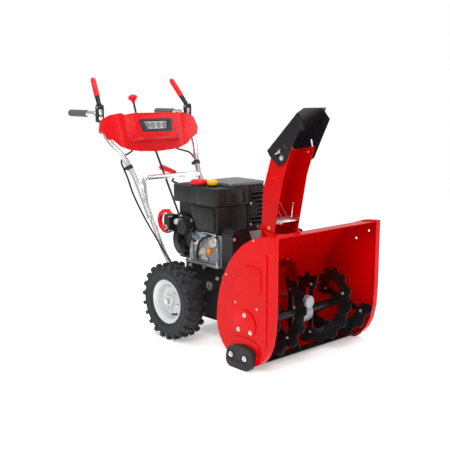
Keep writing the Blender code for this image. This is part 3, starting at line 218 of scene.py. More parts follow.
def ramp_stops(node, count):
    stops = node.color_ramp.elements
    while len(stops) < count:
        stops.new(0.5)
    return stops


def sprayed(name, colour, deep, roughness, ripple=0.00004, coat=0.12):
    """Stoved gloss on pressed steel: a little darker in patches, with orange peel and faint scuffs."""
    paint = Finish(name, IOR=1.5, Coat_Roughness=0.06, Specular_IOR_Level=0.08)
    patch = paint.limited(paint.noise(7.0, 3.0), 0.35, 0.7)
    paint.set("Base Color", paint.between(patch, colour, deep))
    scuff = paint.limited(paint.noise(55.0, 6.0), 0.55, 0.75)
    paint.set("Roughness", roughness + 0.10 * scuff + 0.04 * patch)
    paint.set("Coat Weight", coat - 0.10 * scuff)
    paint.bump(paint.noise(420.0, 1.0), ripple)
    return paint.material


RED = sprayed("red_gloss", (0.66, 0.0006, 0.0016), (0.58, 0.0005, 0.0013), 0.20)


def carry(names, finish, ease=0.0006):
    """Gives CAD nodes a finish, and eases their edges."""
    for node_name in names:
        node = frame["nodes"][node_name]
        node.data.materials.clear()
        node.data.materials.append(finish)
        for face in node.data.polygons:
            face.use_smooth = True
        weld = node.modifiers.new("weld", "WELD")
        weld.merge_threshold = 0.00002
        bevel = node.modifiers.new("eased_edges", "BEVEL")
        bevel.width = ease
        bevel.segments = 2
        bevel.angle_limit = math.radians(32)
        bevel.harden_normals = False
        normals = node.modifiers.new("flat_faces", "WEIGHTED_NORMAL")
        normals.keep_sharp = False


carry(("auger_housing", "impeller_housing", "impeller"), RED)

# ---- side plates
# Each side is one pressed sheet, flanged in over the wrap, with raised panels that stiffen it.
# Three cap bolts hold the auger's bearing, and two more hold the skid shoe through slots.

carry(("side_plate_right", "side_plate_left"), RED, ease=0.0016)
PLATE_X = 0.310


def pressing(name, outline, axis, low, high, corner=0.0, edge=0.0):
    """A piece cut to an outline and given thickness from low to high, its corners and its rim rounded."""
    bpy.ops.object.select_all(action="DESELECT")
    bpy.ops.mesh.primitive_circle_add(vertices=len(outline), fill_type="NGON")
    made = bpy.context.object
    made.name = name
    turns = {"X": lambda u, v: (low, u, v), "Y": lambda u, v: (u, low, v), "Z": lambda u, v: (u, v, low)}
    for point, (u, v) in zip(made.data.vertices, outline):
        point.co = turns[axis](u, v)
    bpy.ops.object.mode_set(mode="EDIT")
    bpy.ops.mesh.select_all(action="SELECT")
    if corner:
        bpy.ops.mesh.bevel(offset=corner, segments=4, affect="VERTICES", clamp_overlap=True)
        bpy.ops.mesh.select_all(action="SELECT")
    depth = [(high - low) * (letter == axis) for letter in "XYZ"]
    bpy.ops.mesh.extrude_region_move(TRANSFORM_OT_translate={"value": depth})
    bpy.ops.mesh.select_all(action="SELECT")
    bpy.ops.mesh.normals_make_consistent(inside=False)
    bpy.ops.object.mode_set(mode="OBJECT")
    made.location = (0, 0, 0)
    if edge:
        soften(made, edge)
    return made


def soften(made, width, segments=2, angle=40):
    """Rounds a piece's sharp edges for good."""
    bpy.context.view_layer.objects.active = made
    bevel = made.modifiers.new("rounding", "BEVEL")
    bevel.width = width
    bevel.segments = segments
    bevel.angle_limit = math.radians(angle)
    bpy.ops.object.modifier_apply(modifier=bevel.name)


def turning(name, profile, centre, along, steps=32):
    """A piece turned on a lathe: its closed profile is (radius, distance along the axis)."""
    bpy.ops.object.select_all(action="DESELECT")
    bpy.ops.mesh.primitive_circle_add(vertices=len(profile), fill_type="NOTHING")
    made = bpy.context.object
    made.name = name
    for point, (radius, height) in zip(made.data.vertices, profile):
        point.co = (radius, 0, height)
    screw = made.modifiers.new("lathe", "SCREW")
    screw.steps = steps
    screw.render_steps = steps
    screw.use_merge_vertices = True
    screw.merge_threshold = 0.00001
    bpy.ops.object.modifier_apply(modifier=screw.name)
    bpy.ops.object.mode_set(mode="EDIT")
    bpy.ops.mesh.select_all(action="SELECT")
    bpy.ops.mesh.remove_doubles(threshold=0.000005)
    bpy.ops.mesh.dissolve_degenerate(threshold=0.000005)
    bpy.ops.mesh.delete_loose()
    bpy.ops.mesh.select_all(action="SELECT")
    bpy.ops.mesh.normals_make_consistent(inside=False)
    bpy.ops.object.mode_set(mode="OBJECT")
    upright = Vector(along).to_track_quat("Z", "Y").to_matrix().to_4x4()
    made.data.transform(Matrix.Translation(centre) @ upright)
    made.location = (0, 0, 0)
    return made


def joined(name, *pieces):
    """Welds pieces into one."""
    bpy.ops.object.select_all(action="DESELECT")
    for piece in pieces:
        piece.select_set(True)
    bpy.context.view_layer.objects.active = pieces[0]
    if len(pieces) > 1:
        bpy.ops.object.join()
    pieces[0].name = name
    return pieces[0]


def mounted(piece, finish, body="chassis", smooth=35, replaces=()):
    """Finishes a piece: its place goes into its mesh, and it rides on its body."""
    bpy.ops.object.select_all(action="DESELECT")
    piece.select_set(True)
    bpy.context.view_layer.objects.active = piece
    bpy.ops.object.transform_apply(location=True, rotation=True, scale=True)
    bpy.ops.object.shade_smooth_by_angle(angle=math.radians(smooth))
    piece.data.materials.clear()
    piece.data.materials.append(finish)
    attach(piece, body)
    if replaces:
        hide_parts(*replaces)
    return piece


def scatter(name, master, places):
    """Copies of one fitting at each place, joined; the master goes."""
    copies = []
    for place in places:
        copy = bpy.data.objects.new(name + "_copy", master.data.copy())
        bpy.context.scene.collection.objects.link(copy)
        copy.data.transform(place)
        copies.append(copy)
    bpy.data.objects.remove(master, do_unlink=True)
    return joined(name, *copies)


def facing(direction, point):
    """A place at a point, turned so that Z looks along a direction."""
    return Matrix.Translation(point) @ Vector(direction).to_track_quat("Z", "Y").to_matrix().to_4x4()


def cap_bolts(name, radius, points, direction, finish, body="chassis"):
    """Domed hexagon bolts on washers."""
    washer = turning("washer", [(0, 0), (radius * 1.75, 0), (radius * 1.75, radius * 0.22),
                                (radius * 1.65, radius * 0.3), (0, radius * 0.3)], (0, 0, 0), (0, 0, 1),
                     20)
    bpy.ops.mesh.primitive_cylinder_add(vertices=6, radius=radius * 1.18, depth=radius * 0.85,
                                        location=(0, 0, radius * 0.68))
    head = bpy.context.object
    soften(head, radius * 0.16)
    bpy.ops.object.transform_apply(location=True)
    stub = turning("stub", [(0, radius), (radius * 0.62, radius), (radius * 0.62, radius * 1.2),
                            (radius * 0.5, radius * 1.35), (0, radius * 1.4)], (0, 0, 0), (0, 0, 1), 16)
    master = joined("bolt", washer, head, stub)
    bolts = scatter(name, master, [facing(direction, point) for point in points])
    return mounted(bolts, finish, body)


def bare_metal(name, colour, roughness, grain=(60, 60, 60), streak=0.10, depth=0.00003):
    """Plated or cast metal: its grain shows as roughness that changes, and as very fine relief."""
    metal = Finish(name, Metallic=1.0)
    flow = metal.noise(1.0, 4.0, metal.stretched(grain))
    stain = metal.limited(metal.noise(14.0, 4.0), 0.4, 0.7)
    metal.set("Base Color", metal.between(0.35 * stain + 0.2 * flow, colour,
                                          tuple(0.7 * c for c in colour)))
    metal.set("Roughness", roughness + streak * flow + 0.08 * stain)
    metal.bump(flow, depth)
    return metal.material


ZINC = bare_metal("zinc_plate", (0.72, 0.71, 0.68), 0.26, (300, 300, 300))

PANELS = (("window", [(-0.5865, 0.408), (-0.6505, 0.407), (-0.6615, 0.394), (-0.6625, 0.315),
                      (-0.6475, 0.301), (-0.5155, 0.302), (-0.5095, 0.320), (-0.5705, 0.397)], 0.006),
          ("bearing", [(-0.5775 + 0.060 * math.sin(math.radians(a)),
                        0.174 + 0.060 * math.cos(math.radians(a))) for a in range(-128, 129, 16)], 0.010),
          ("shoe_arch", [(-0.655, 0.112), (-0.652, 0.060), (-0.640, 0.030), (-0.490, 0.030),
                         (-0.478, 0.070), (-0.490, 0.105), (-0.530, 0.122), (-0.600, 0.125)], 0.020),
          ("bead", [(-0.6935, 0.455), (-0.6935, 0.120), (-0.6845, 0.105), (-0.6805, 0.120),
                    (-0.6805, 0.455), (-0.6870, 0.463)], 0.004),)
for side, side_name in ((-1, "right"), (1, "left")):
    raised = []
    for panel, outline, corner in PANELS:
        low, high = sorted((side * (PLATE_X - 0.0005), side * (PLATE_X + 0.0040)))
        raised.append(pressing(f"{panel}_{side_name}", outline, "X", low, high, corner))
    for piece in raised:
        soften(piece, 0.0030, 4)
    mounted(joined(f"side_plate_pressings_{side_name}", *raised), RED)
    bearing_bolts = [(side * (PLATE_X + 0.004), y, z) for y, z in
                     ((-0.5775, 0.212), (-0.5445, 0.150), (-0.6105, 0.150))]
    cap_bolts(f"bearing_bolts_{side_name}", 0.0052, bearing_bolts, (side, 0, 0), ZINC)
    shoe_bolts = [(side * (PLATE_X + 0.0242), y, 0.050) for y in (-0.6005, -0.5245)]
    cap_bolts(f"shoe_bolts_{side_name}", 0.0065, shoe_bolts, (side, 0, 0), ZINC)
    rivets = [(side * PLATE_X, y, z) for y, z in ((-0.5225, 0.252), (-0.6395, 0.247), (-0.4700, 0.352),
                                                  (-0.6200, 0.505))]
    rivet = turning("rivet", [(0, 0), (0.0042, 0), (0.0040, 0.0010), (0.0026, 0.0020), (0, 0.0024)],
                    (0, 0, 0), (0, 0, 1), 16)
    mounted(scatter(f"rivets_{side_name}", rivet, [facing((side, 0, 0), p) for p in rivets]), ZINC)

# ---- skid shoes and scraper bar
# The shoes are moulded from a tough black plastic and wear along their soles.
# The scraper is a flat steel bar under the housing's lip, painted black.


def moulded(name, colour, roughness, grain=900.0, depth=0.00012, worn=0.04):
    """Moulded plastic with a fine leathery grain, scuffed here and there."""
    plastic = Finish(name, IOR=1.46, Specular_IOR_Level=0.25)
    scuff = plastic.limited(plastic.noise(38.0, 6.0), 0.52, 0.78)
    cloud = plastic.noise(5.0, 2.0)
    light = tuple(c + worn for c in colour)
    plastic.set("Base Color", plastic.between(0.45 * scuff + 0.25 * cloud, colour, light))
    plastic.set("Roughness", roughness + 0.15 * scuff)
    pebble = plastic.add("TexVoronoi", {"feature": "SMOOTH_F1"}, {"Vector": plastic.place, "Scale": grain})
    plastic.bump(pebble, depth)
    return plastic.material


def carved(made, cutters, operation="DIFFERENCE"):
    """Cuts other pieces out of a piece, or welds them to it, for good."""
    bpy.context.view_layer.objects.active = made
    for cutter in cutters:
        cut = made.modifiers.new("cut", "BOOLEAN")
        cut.object = cutter
        cut.operation = operation
        cut.solver = "EXACT"
        bpy.ops.object.modifier_apply(modifier=cut.name)
        bpy.data.objects.remove(cutter, do_unlink=True)
    return made


SHOE_BLACK = moulded("shoe_black", (0.012, 0.012, 0.013), 0.42, 500.0)
BLACK_PAINT = sprayed("satin_black", (0.011, 0.011, 0.012), (0.020, 0.020, 0.021), 0.36, 0.00008, 0.25)
SHOE = [(-0.4985, 0.060), (-0.4925, 0.026), (-0.4995, 0.010), (-0.5165, 0.0002), (-0.6035, 0.0002),
        (-0.6215, 0.008), (-0.6335, 0.024), (-0.6435, 0.066), (-0.6395, 0.080), (-0.6275, 0.089),
        (-0.5775, 0.096), (-0.5325, 0.088), (-0.5075, 0.078)]
for side, side_name in ((-1, "right"), (1, "left")):
    low, high = sorted((side * (PLATE_X + 0.0003), side * (PLATE_X + 0.0240)))
    shoe = pressing(f"shoe_{side_name}", SHOE, "X", low, high, 0.007)
    slots = []
    for y in (-0.6005, -0.5245):
        slot_shape = [(y - 0.0065, 0.033), (y + 0.0065, 0.033), (y + 0.0065, 0.060), (y - 0.0065, 0.060)]
        slots.append(pressing("slot", slot_shape, "X", low - 0.01, high + 0.01, 0.006))
    well = [(-0.6205, 0.030), (-0.5075, 0.030), (-0.5105, 0.072), (-0.5775, 0.082), (-0.6245, 0.074)]
    outer = high if side > 0 else low
    reach = sorted((outer - side * 0.0025, outer + side * 0.01))
    slots.append(pressing("well", well, "X", reach[0], reach[1], 0.008))
    carved(shoe, slots)
    soften(shoe, 0.0016, 3)
    mounted(shoe, SHOE_BLACK, replaces=[f"skid_shoe_{side_name}"])
carry(("scraper_bar",), BLACK_PAINT)

# ---- augers
# Two toothed ribbons wind from each end towards the gearbox, rolled from strip and welded to flat arms.
# Their tubes slide on the cross shaft, and a shear bolt drives each one.

AUGER_LINE = Vector((0, -0.5775, 0.170))
RIBBON_STEPS = 84
RIBBON_TURN = 2 * math.pi * 0.80
RIBBON_IN, RIBBON_OUT, TOOTH = 0.086, 0.134, 0.0140
AUGER_ENDS = (0.278, 0.046)
AUGER_BLACK = sprayed("auger_black", (0.005, 0.005, 0.006), (0.018, 0.017, 0.016), 0.36, 0.00008, 0.25)


def auger_ribbon(name, side, start):
    """A strip wound on a helix, with square teeth along its outer edge."""
    bpy.ops.object.select_all(action="DESELECT")
    bpy.ops.mesh.primitive_grid_add(x_subdivisions=RIBBON_STEPS, y_subdivisions=3, size=2)
    strip = bpy.context.object
    strip.name = name
    for point in strip.data.vertices:
        step = round((point.co.x + 1) / 2 * RIBBON_STEPS)
        across = round((point.co.y + 1) / 2 * 3)
        share = step / RIBBON_STEPS
        tooth = TOOTH if step % 8 in (1, 2, 3, 4) else 0.0
        radius = (RIBBON_IN, RIBBON_IN + 0.016, RIBBON_OUT - 0.004, RIBBON_OUT + tooth)[across]
        cup = (0.0, 0.003, 0.003, 0.0)[across] * side
        turn = start + side * RIBBON_TURN * share
        x = side * (AUGER_ENDS[0] + (AUGER_ENDS[1] - AUGER_ENDS[0]) * share) + cup
        point.co = AUGER_LINE + Vector((x, radius * math.cos(turn), radius * math.sin(turn)))
    wall = strip.modifiers.new("strip", "SOLIDIFY")
    wall.thickness = 0.0042
    wall.offset = 0
    bpy.ops.object.modifier_apply(modifier=wall.name)
    soften(strip, 0.0008, 1, 50)
    return strip


for side, side_name in ((-1, "right"), (1, "left")):
    ends = sorted((side * 0.0300, side * 0.2880))
    length = ends[1] - ends[0]
    collar = (0.0210, 0.0170)
    profile = [(0.0098, 0), (collar[0], 0), (collar[0], 0.024), (collar[1], 0.027),
               (collar[1], length - 0.027), (collar[0], length - 0.024), (collar[0], length),
               (0.0098, length)]
    pieces = [turning(f"auger_tube_{side_name}", profile, AUGER_LINE + Vector((ends[0], 0, 0)), (1, 0, 0),
                      28)]
    for start in (0, math.pi):
        pieces.append(auger_ribbon(f"ribbon_{side_name}", side, start))
        for share in (0.06, 0.5, 0.94):
            x = side * (AUGER_ENDS[0] + (AUGER_ENDS[1] - AUGER_ENDS[0]) * share)
            turn = start + side * RIBBON_TURN * share
            arm_shape = [(0.010, -0.013), (0.108, -0.010), (0.112, -0.004), (0.112, 0.004), (0.108, 0.010),
                         (0.010, 0.013)]
            arm = pressing("arm", arm_shape, "X", -0.0028, 0.0028, 0.003, 0.0006)
            at = Matrix.Translation(AUGER_LINE + Vector((x, 0, 0)))
            arm.data.transform(at @ Matrix.Rotation(turn, 4, "X"))
            pieces.append(arm)
    mounted(joined(f"auger_{side_name}_ribbons", *pieces), AUGER_BLACK, "augers",
            replaces=[f"auger_{side_name}"])
    arm_bolts = []
    for start in (0, math.pi):
        for share in (0.06, 0.5, 0.94):
            turn = start + side * RIBBON_TURN * share
            x = side * (AUGER_ENDS[0] + (AUGER_ENDS[1] - AUGER_ENDS[0]) * share) - 0.0028
            arm_bolts.append(AUGER_LINE + Vector((x, 0.101 * math.cos(turn), 0.101 * math.sin(turn))))
    cap_bolts(f"arm_bolts_{side_name}", 0.0042, arm_bolts, (-1, 0, 0), ZINC, "augers")
    shear = AUGER_LINE + Vector((side * 0.043, 0, 0.0205))
    cap_bolts(f"shear_bolt_{side_name}", 0.0045, [shear], (0, 0, 1), ZINC, "augers")
carry(("auger_shaft", "worm_wheel"), ZINC)

# ---- auger gearbox
# Two cast halves bolted together round the worm wheel, left as cast, with a ribbed neck for the worm.

CAST = bare_metal("as_cast", (0.52, 0.53, 0.55), 0.42, (180, 180, 180), 0.18, 0.00025)
carry(("auger_gearbox",), CAST, ease=0.0022)
seam = turning("gearbox_seam", [(0.0440, -0.0022), (0.0480, -0.0022), (0.0480, 0.0022), (0.0440, 0.0022)],
               AUGER_LINE, (1, 0, 0), 40)
soften(seam, 0.0006)
ribs = [seam]
for height in (-0.044, -0.030, 0.034, 0.048):
    ribs.append(turning("neck_rib", [(0.0225, -0.0016), (0.0262, -0.0016), (0.0262, 0.0016),
                                     (0.0225, 0.0016)], (0, AUGER_LINE.y + height, 0.215), (0, 1, 0), 28))
mounted(joined("gearbox_ribs", *ribs), CAST)
case_bolts = [AUGER_LINE + Vector((-0.0240, 0.037 * math.cos(a), 0.037 * math.sin(a)))
              for a in (0.5, 1.9, 3.3, 4.1, 5.3)]
cap_bolts("gearbox_bolts", 0.0036, case_bolts, (-1, 0, 0), ZINC)
cap_bolts("gearbox_bolts_left", 0.0036, [p + Vector((0.048, 0, 0)) for p in case_bolts], (1, 0, 0), ZINC)
carry(("impeller_shaft", "impeller_pulley", "engine_pulley", "hex_shaft", "axle"), ZINC)

# ---- wheels
# Low-pressure tyres with deep snow lugs on pressed steel rims, painted silver.
# The valve stands in the dish of each rim, and a pin holds the hub to the axle.

TYRE_RUBBER = Finish("tyre_rubber", IOR=1.45)
dust = TYRE_RUBBER.limited(TYRE_RUBBER.noise(22.0, 6.0), 0.45, 0.75)
TYRE_RUBBER.set("Base Color", TYRE_RUBBER.between(0.6 * dust, (0.013, 0.014, 0.016), (0.042, 0.042, 0.045)))
TYRE_RUBBER.set("Roughness", 0.62 + 0.22 * dust)
TYRE_RUBBER.bump(TYRE_RUBBER.noise(700.0, 3.0), 0.0002)
RIM_SILVER = sprayed("rim_silver", (0.66, 0.67, 0.68), (0.56, 0.57, 0.58), 0.28, 0.0001, 0.4)
WHEEL_AXIS = Vector((0, -0.0925, 0.165))
TREAD_X = 0.272
LUG_ROWS = 22


def tyre_lug(name, shape, low, high):
    """One lug, cut to a shape across the tread (x, around) and tapered towards its top."""
    lug = pressing(name, shape, "Z", low, high)
    bpy.ops.object.mode_set(mode="EDIT")
    bpy.ops.mesh.select_all(action="DESELECT")
    bpy.ops.object.mode_set(mode="OBJECT")
    for face in lug.data.polygons:
        face.select = face.normal.z > 0.9
    bpy.ops.object.mode_set(mode="EDIT")
    bpy.ops.transform.resize(value=(0.84, 0.74, 1),
                             center_override=(sum(u for u, v in shape) / len(shape), 0, high))
    bpy.ops.object.mode_set(mode="OBJECT")
    return lug


for side, side_name in ((-1, "right"), (1, "left")):
    centre = WHEEL_AXIS + Vector((side * TREAD_X, 0, 0))
    carcass_profile = [(0.0845, -0.033), (0.0905, -0.0395), (0.0960, -0.0400), (0.1020, -0.0440),
                       (0.1200, -0.0490), (0.1360, -0.0485), (0.1470, -0.0440), (0.1530, -0.0340),
                       (0.1550, -0.0180), (0.1555, 0.0), (0.1550, 0.0180), (0.1530, 0.0340),
                       (0.1470, 0.0440), (0.1360, 0.0485), (0.1200, 0.0490), (0.1020, 0.0440),
                       (0.0960, 0.0400), (0.0905, 0.0395), (0.0845, 0.033)]
    carcass = turning(f"tyre_carcass_{side_name}", carcass_profile, centre, (1, 0, 0), 72)
    ring_lines = []
    for radius, foot, crest in ((0.1050, 0.0430, 0.0468), (0.1330, 0.0440, 0.0502)):
        for face_side in (-1, 1):
            ring = [(radius, face_side * foot), (radius + 0.0022, face_side * foot),
                    (radius + 0.0018, face_side * crest), (radius + 0.0004, face_side * crest)]
            ring_lines.append(turning("sidewall_line", ring, centre, (1, 0, 0), 72))
    middle = tyre_lug("middle_lug", [(-0.021, -0.0075), (-0.006, -0.0125), (0.002, -0.0065),
                                     (-0.001, 0.0075), (-0.014, 0.0110), (-0.021, 0.0045)], 0.1530,
                      0.1642)
    inner = tyre_lug("inner_lug", [(0.006, -0.0115), (0.022, -0.0060), (0.022, 0.0060), (0.008, 0.0105)],
                     0.1530, 0.1650)
    shoulder = tyre_lug("shoulder_lug", [(0.027, -0.0100), (0.0430, -0.0080), (0.0430, 0.0070),
                                         (0.027, 0.0095)], 0.1490, 0.1645)
    tab = pressing("shoulder_tab", [(0.1395, -0.0065), (0.1575, -0.0085), (0.1620, 0.0), (0.1575, 0.0075),
                                    (0.1395, 0.0060)], "X", 0.0400, 0.0480)
    tab.data.transform(Matrix(((1, 0, 0, 0), (0, 0, 1, 0), (0, 1, 0, 0), (0, 0, 0, 1))))
    bpy.ops.object.select_all(action="DESELECT")
    tab.select_set(True)
    bpy.context.view_layer.objects.active = tab
    bpy.ops.object.mode_set(mode="EDIT")
    bpy.ops.mesh.select_all(action="SELECT")
    bpy.ops.mesh.normals_make_consistent(inside=False)
    bpy.ops.object.mode_set(mode="OBJECT")
    outer = joined("outer_lugs", shoulder, tab)
    step = 2 * math.pi / LUG_ROWS
    pieces = [carcass, *ring_lines]
    for master, offset in ((middle, 0.0), (inner, 0.5), (outer, 0.25)):
        places = []
        for row in range(LUG_ROWS):
            angle = (row + offset) * step
            places.append(Matrix.Translation(centre) @ Matrix.Rotation(angle, 4, "X"))
            if master is outer:
                across = Matrix.Rotation(math.pi, 4, "Z")
                onward = Matrix.Rotation(angle + 0.5 * step, 4, "X")
                places.append(Matrix.Translation(centre) @ onward @ across)
        pieces.append(scatter("lugs", master, places))
    mounted(joined(f"snow_tyre_{side_name}", *pieces), TYRE_RUBBER.material, "wheels", 30,
            [f"tyre_{side_name}"])

    rim_profile = [(0.0130, 0.0300), (0.0215, 0.0300), (0.0235, 0.0270), (0.0245, 0.0100),
                   (0.0300, 0.0060), (0.0420, 0.0045), (0.0480, 0.0090), (0.0600, 0.0100),
                   (0.0680, 0.0040), (0.0715, 0.0040), (0.0735, 0.0100), (0.0760, 0.0290),
                   (0.0830, 0.0350), (0.0880, 0.0395), (0.0925, 0.0415), (0.0950, 0.0395),
                   (0.0945, 0.0375), (0.0900, 0.0360), (0.0790, 0.0260), (0.0770, 0.0000),
                   (0.0790, -0.0260), (0.0900, -0.0360), (0.0945, -0.0375), (0.0950, -0.0395),
                   (0.0925, -0.0415), (0.0880, -0.0395), (0.0830, -0.0350), (0.0750, -0.0290),
                   (0.0725, 0.0000), (0.0600, 0.0060), (0.0480, 0.0050), (0.0420, 0.0005),
                   (0.0245, 0.0005), (0.0235, -0.0320), (0.0130, -0.0320)]
    rim = turning(f"wheel_rim_{side_name}", rim_profile, centre, (side, 0, 0), 72)
    mounted(rim, RIM_SILVER, "wheels", 30, [f"rim_{side_name}"])
    cover = turning(f"hub_cover_{side_name}", [(0, 0.0300), (0.0110, 0.0300), (0.0125, 0.0320),
                                               (0.0100, 0.0345), (0, 0.0350)], centre, (side, 0, 0), 28)
    mounted(cover, BLACK_PAINT, "wheels")
    dish_bolts = [centre + Vector((side * 0.0060, 0.036 * math.cos(a), 0.036 * math.sin(a)))
                  for a in (0.4, 1.97, 3.54, 5.11)]
    cap_bolts(f"dish_bolts_{side_name}", 0.0042, dish_bolts, (side, 0, 0), ZINC, "wheels")
    valve_at = centre + Vector((side * 0.002, -0.033, -0.055))
    valve = turning(f"valve_{side_name}", [(0, 0), (0.0048, 0), (0.0042, 0.010), (0.0034, 0.012),
                                           (0.0034, 0.022), (0.0044, 0.023), (0.0044, 0.031),
                                           (0.0034, 0.033), (0, 0.033)], valve_at, (side, 0.10, 0.16), 18)
    mounted(valve, SHOE_BLACK, "wheels")

# ---- frame, drive and belt cover
# The drive frame is folded from black-painted plate, and a moulded cover hides the belts at its front.
# Inside are the friction disc and its rubber wheel, on a hexagonal shaft.

TANK_BLACK = moulded("tank_black", (0.014, 0.014, 0.015), 0.34, 700.0, 0.00008, 0.03)
COVER_BLACK = moulded("cover_black", (0.010, 0.010, 0.011), 0.30, 900.0, 0.00005, 0.02)
BELT_RUBBER = moulded("belt_rubber", (0.015, 0.015, 0.015), 0.75, 900.0, 0.0002)
carry(("frame_housing",), BLACK_PAINT, 0.0012)
carry(("belt_cover",), COVER_BLACK, 0.0050)
carry(("friction_plate",), CAST)
carry(("friction_wheel", "auger_belt", "drive_belt"), BELT_RUBBER)
for side, side_name in ((-1, "right"), (1, "left")):
    frame_bolts = [(side * 0.1500, y, z) for y, z in ((-0.325, 0.285), (-0.325, 0.130), (-0.275, 0.275),
                                                      (-0.235, 0.265), (-0.060, 0.292), (-0.060, 0.250),
                                                      (-0.150, 0.300))]
    cap_bolts(f"frame_bolts_{side_name}", 0.0055, frame_bolts, (side, 0, 0), ZINC)
    flange = turning(f"axle_flange_{side_name}", [(0.0140, 0), (0.0290, 0), (0.0290, 0.003),
                                                  (0.0200, 0.005), (0.0190, 0.010), (0.0140, 0.010)],
                     (side * 0.1500, WHEEL_AXIS.y, WHEEL_AXIS.z), (side, 0, 0), 32)
    mounted(flange, BLACK_PAINT)
    hex_flange = turning(f"hex_flange_{side_name}", [(0.0100, 0), (0.0210, 0), (0.0210, 0.003),
                                                     (0.0130, 0.004), (0.0120, 0.007), (0.0100, 0.007)],
                         (side * 0.1500, -0.187, 0.225), (side, 0, 0), 28)
    mounted(hex_flange, ZINC)
lip = pressing("frame_lip", [(-0.1535, -0.3520), (0.1535, -0.3520), (0.1535, -0.0220),
                             (-0.1535, -0.0220)], "Z", 0.3125, 0.3178, 0.004, 0.001)
mounted(lip, BLACK_PAINT)
cover_screws = [(-0.1600, -0.3525, 0.345), (-0.1600, -0.3525, 0.450), (0.105, -0.3525, 0.330)]
cap_bolts("cover_screws", 0.0045, cover_screws, (0, -1, 0), ZINC)

# ---- fuel tank, air cover and guard
# The tank is one blow-moulded shell with soft corners and a raised column under the oil cap.
# Below it a ribbed cover closes in the carburettor, and a louvred guard stands over the silencer.

TANK_PLAN = [(-0.0100, -0.2790), (-0.1180, -0.2790), (-0.1260, -0.2720), (-0.1740, -0.2700),
             (-0.1890, -0.2560), (-0.1895, -0.1600), (-0.1820, -0.1450), (-0.1820, -0.0950),
             (-0.1880, -0.0800), (-0.1880, 0.0080), (-0.1740, 0.0240), (-0.0260, 0.0245),
             (-0.0100, 0.0100)]
tank = pressing("tank_shell", TANK_PLAN, "Z", 0.5800, 0.6500, 0.006)
soften(tank, 0.0090, 4, 50)
ledge_plan = [(x + 0.0015 * (x > -0.1), y) for x, y in TANK_PLAN]
ledge = pressing("tank_ledge", ledge_plan, "Z", 0.5765, 0.5815, 0.006, 0.0012)
swell = pressing("tank_swell", [(-0.160, -0.150), (-0.050, -0.150), (-0.040, -0.020), (-0.060, 0.004),
                                (-0.165, 0.004), (-0.172, -0.020)], "Z", 0.6480, 0.6515, 0.012, 0.0020)
filler = turning("filler_neck", [(0, 0.6480), (0.0420, 0.6480), (0.0420, 0.6506), (0.0405, 0.6516),
                                 (0, 0.6516)], (-0.145, -0.1135, 0), (0, 0, 1), 48)
mounted(joined("tank_body", tank, ledge, swell, filler), TANK_BLACK, smooth=30,
        replaces=["fuel_tank"])

AIR_BLACK = moulded("air_cover_black", (0.011, 0.011, 0.012), 0.40, 800.0, 0.00008, 0.02)
air_shape = [(-0.2690, 0.4560), (-0.2690, 0.5765), (-0.0930, 0.5765), (-0.0930, 0.5350), (-0.1330, 0.4560)]
air_parts = [pressing("air_body", air_shape, "X", -0.1780, -0.0105, 0.010, 0.0060)]
for row in range(11):
    z = 0.4640 + 0.0098 * row
    air_parts.append(pressing("air_rib", [(-0.1180, z), (-0.0160, z), (-0.0160, z + 0.0048),
                                          (-0.1180, z + 0.0048)], "Y", -0.2715, -0.2680, 0.0018, 0.0008))
side_panel = [(-0.2560, 0.4700), (-0.2500, 0.5680), (-0.1030, 0.5680), (-0.1030, 0.5400), (-0.1420, 0.4700)]
air_parts.append(pressing("air_side", side_panel, "X", -0.1846, -0.1740, 0.010, 0.0036))
for y in (-0.2200, -0.1850, -0.1500):
    air_parts.append(pressing("air_side_rib", [(y, 0.4900), (y + 0.004, 0.4900), (y + 0.008, 0.5600),
                                               (y + 0.004, 0.5600)], "X", -0.1850, -0.1800, 0.001,
                              0.0006))
recess = pressing("recess_frame", [(-0.0420, 0.5860), (-0.0150, 0.5860), (-0.0150, 0.6380),
                                   (-0.0420, 0.6380)], "Y", -0.2812, -0.2770, 0.004, 0.0010)
air_parts.append(recess)
mounted(joined("air_cover", *air_parts), AIR_BLACK, smooth=30,
        replaces=["carburettor_cover"])
front_block = pressing("tank_front_block", [(-0.1160, 0.5880), (-0.0480, 0.5880), (-0.0480, 0.6400),
                                            (-0.1120, 0.6400)], "Y", -0.2820, -0.2780, 0.006, 0.0016)
mounted(front_block, TANK_BLACK)

GUARD_GREY = sprayed("guard_grey", (0.030, 0.031, 0.033), (0.016, 0.016, 0.017), 0.42, 0.0002, 0.15)
carry(("muffler_guard",), GUARD_GREY, 0.0028)
guard_pieces = []
for row in range(9):
    z = 0.4800 + 0.0180 * row
    blade = pressing("louvre_lip", [(-0.2712, z), (-0.2755, z - 0.0035), (-0.2768, z - 0.0028),
                                    (-0.2722, z + 0.0016)], "X", 0.0150, 0.0850, 0, 0.0003)
    guard_pieces.append(blade)
for column in (0.0050, 0.0940):
    guard_pieces.append(pressing("guard_rib", [(column, 0.470), (column + 0.004, 0.470),
                                               (column + 0.004, 0.636), (column, 0.636)], "Y", -0.2735,
                                 -0.2700, 0.001, 0.0008))
mounted(joined("guard_louvres", *guard_pieces), GUARD_GREY)
cap_bolts("guard_screws", 0.0034, [(0.0070, -0.2735, 0.5750), (0.0960, -0.2735, 0.5750),
                                   (0.0070, -0.2735, 0.4850), (0.0960, -0.2735, 0.4850),
                                   (0.0500, -0.2710, 0.4720)], (0, -1, 0), ZINC)
silencer = turning("silencer", [(0, 0), (0.034, 0), (0.040, 0.006), (0.040, 0.134), (0.034, 0.140),
                                (0, 0.140)], (0.0500, -0.2450, 0.5450), (0, 1, 0), 40)
SILENCER = bare_metal("silencer_steel", (0.30, 0.29, 0.28), 0.45, (120, 120, 120), 0.2)
mounted(silencer, SILENCER)
shield_plan = [(-0.0960, -0.2620), (0.1020, -0.2620), (0.1060, -0.0900), (0.0900, -0.0740),
               (-0.0500, -0.0740), (-0.0960, -0.1200)]
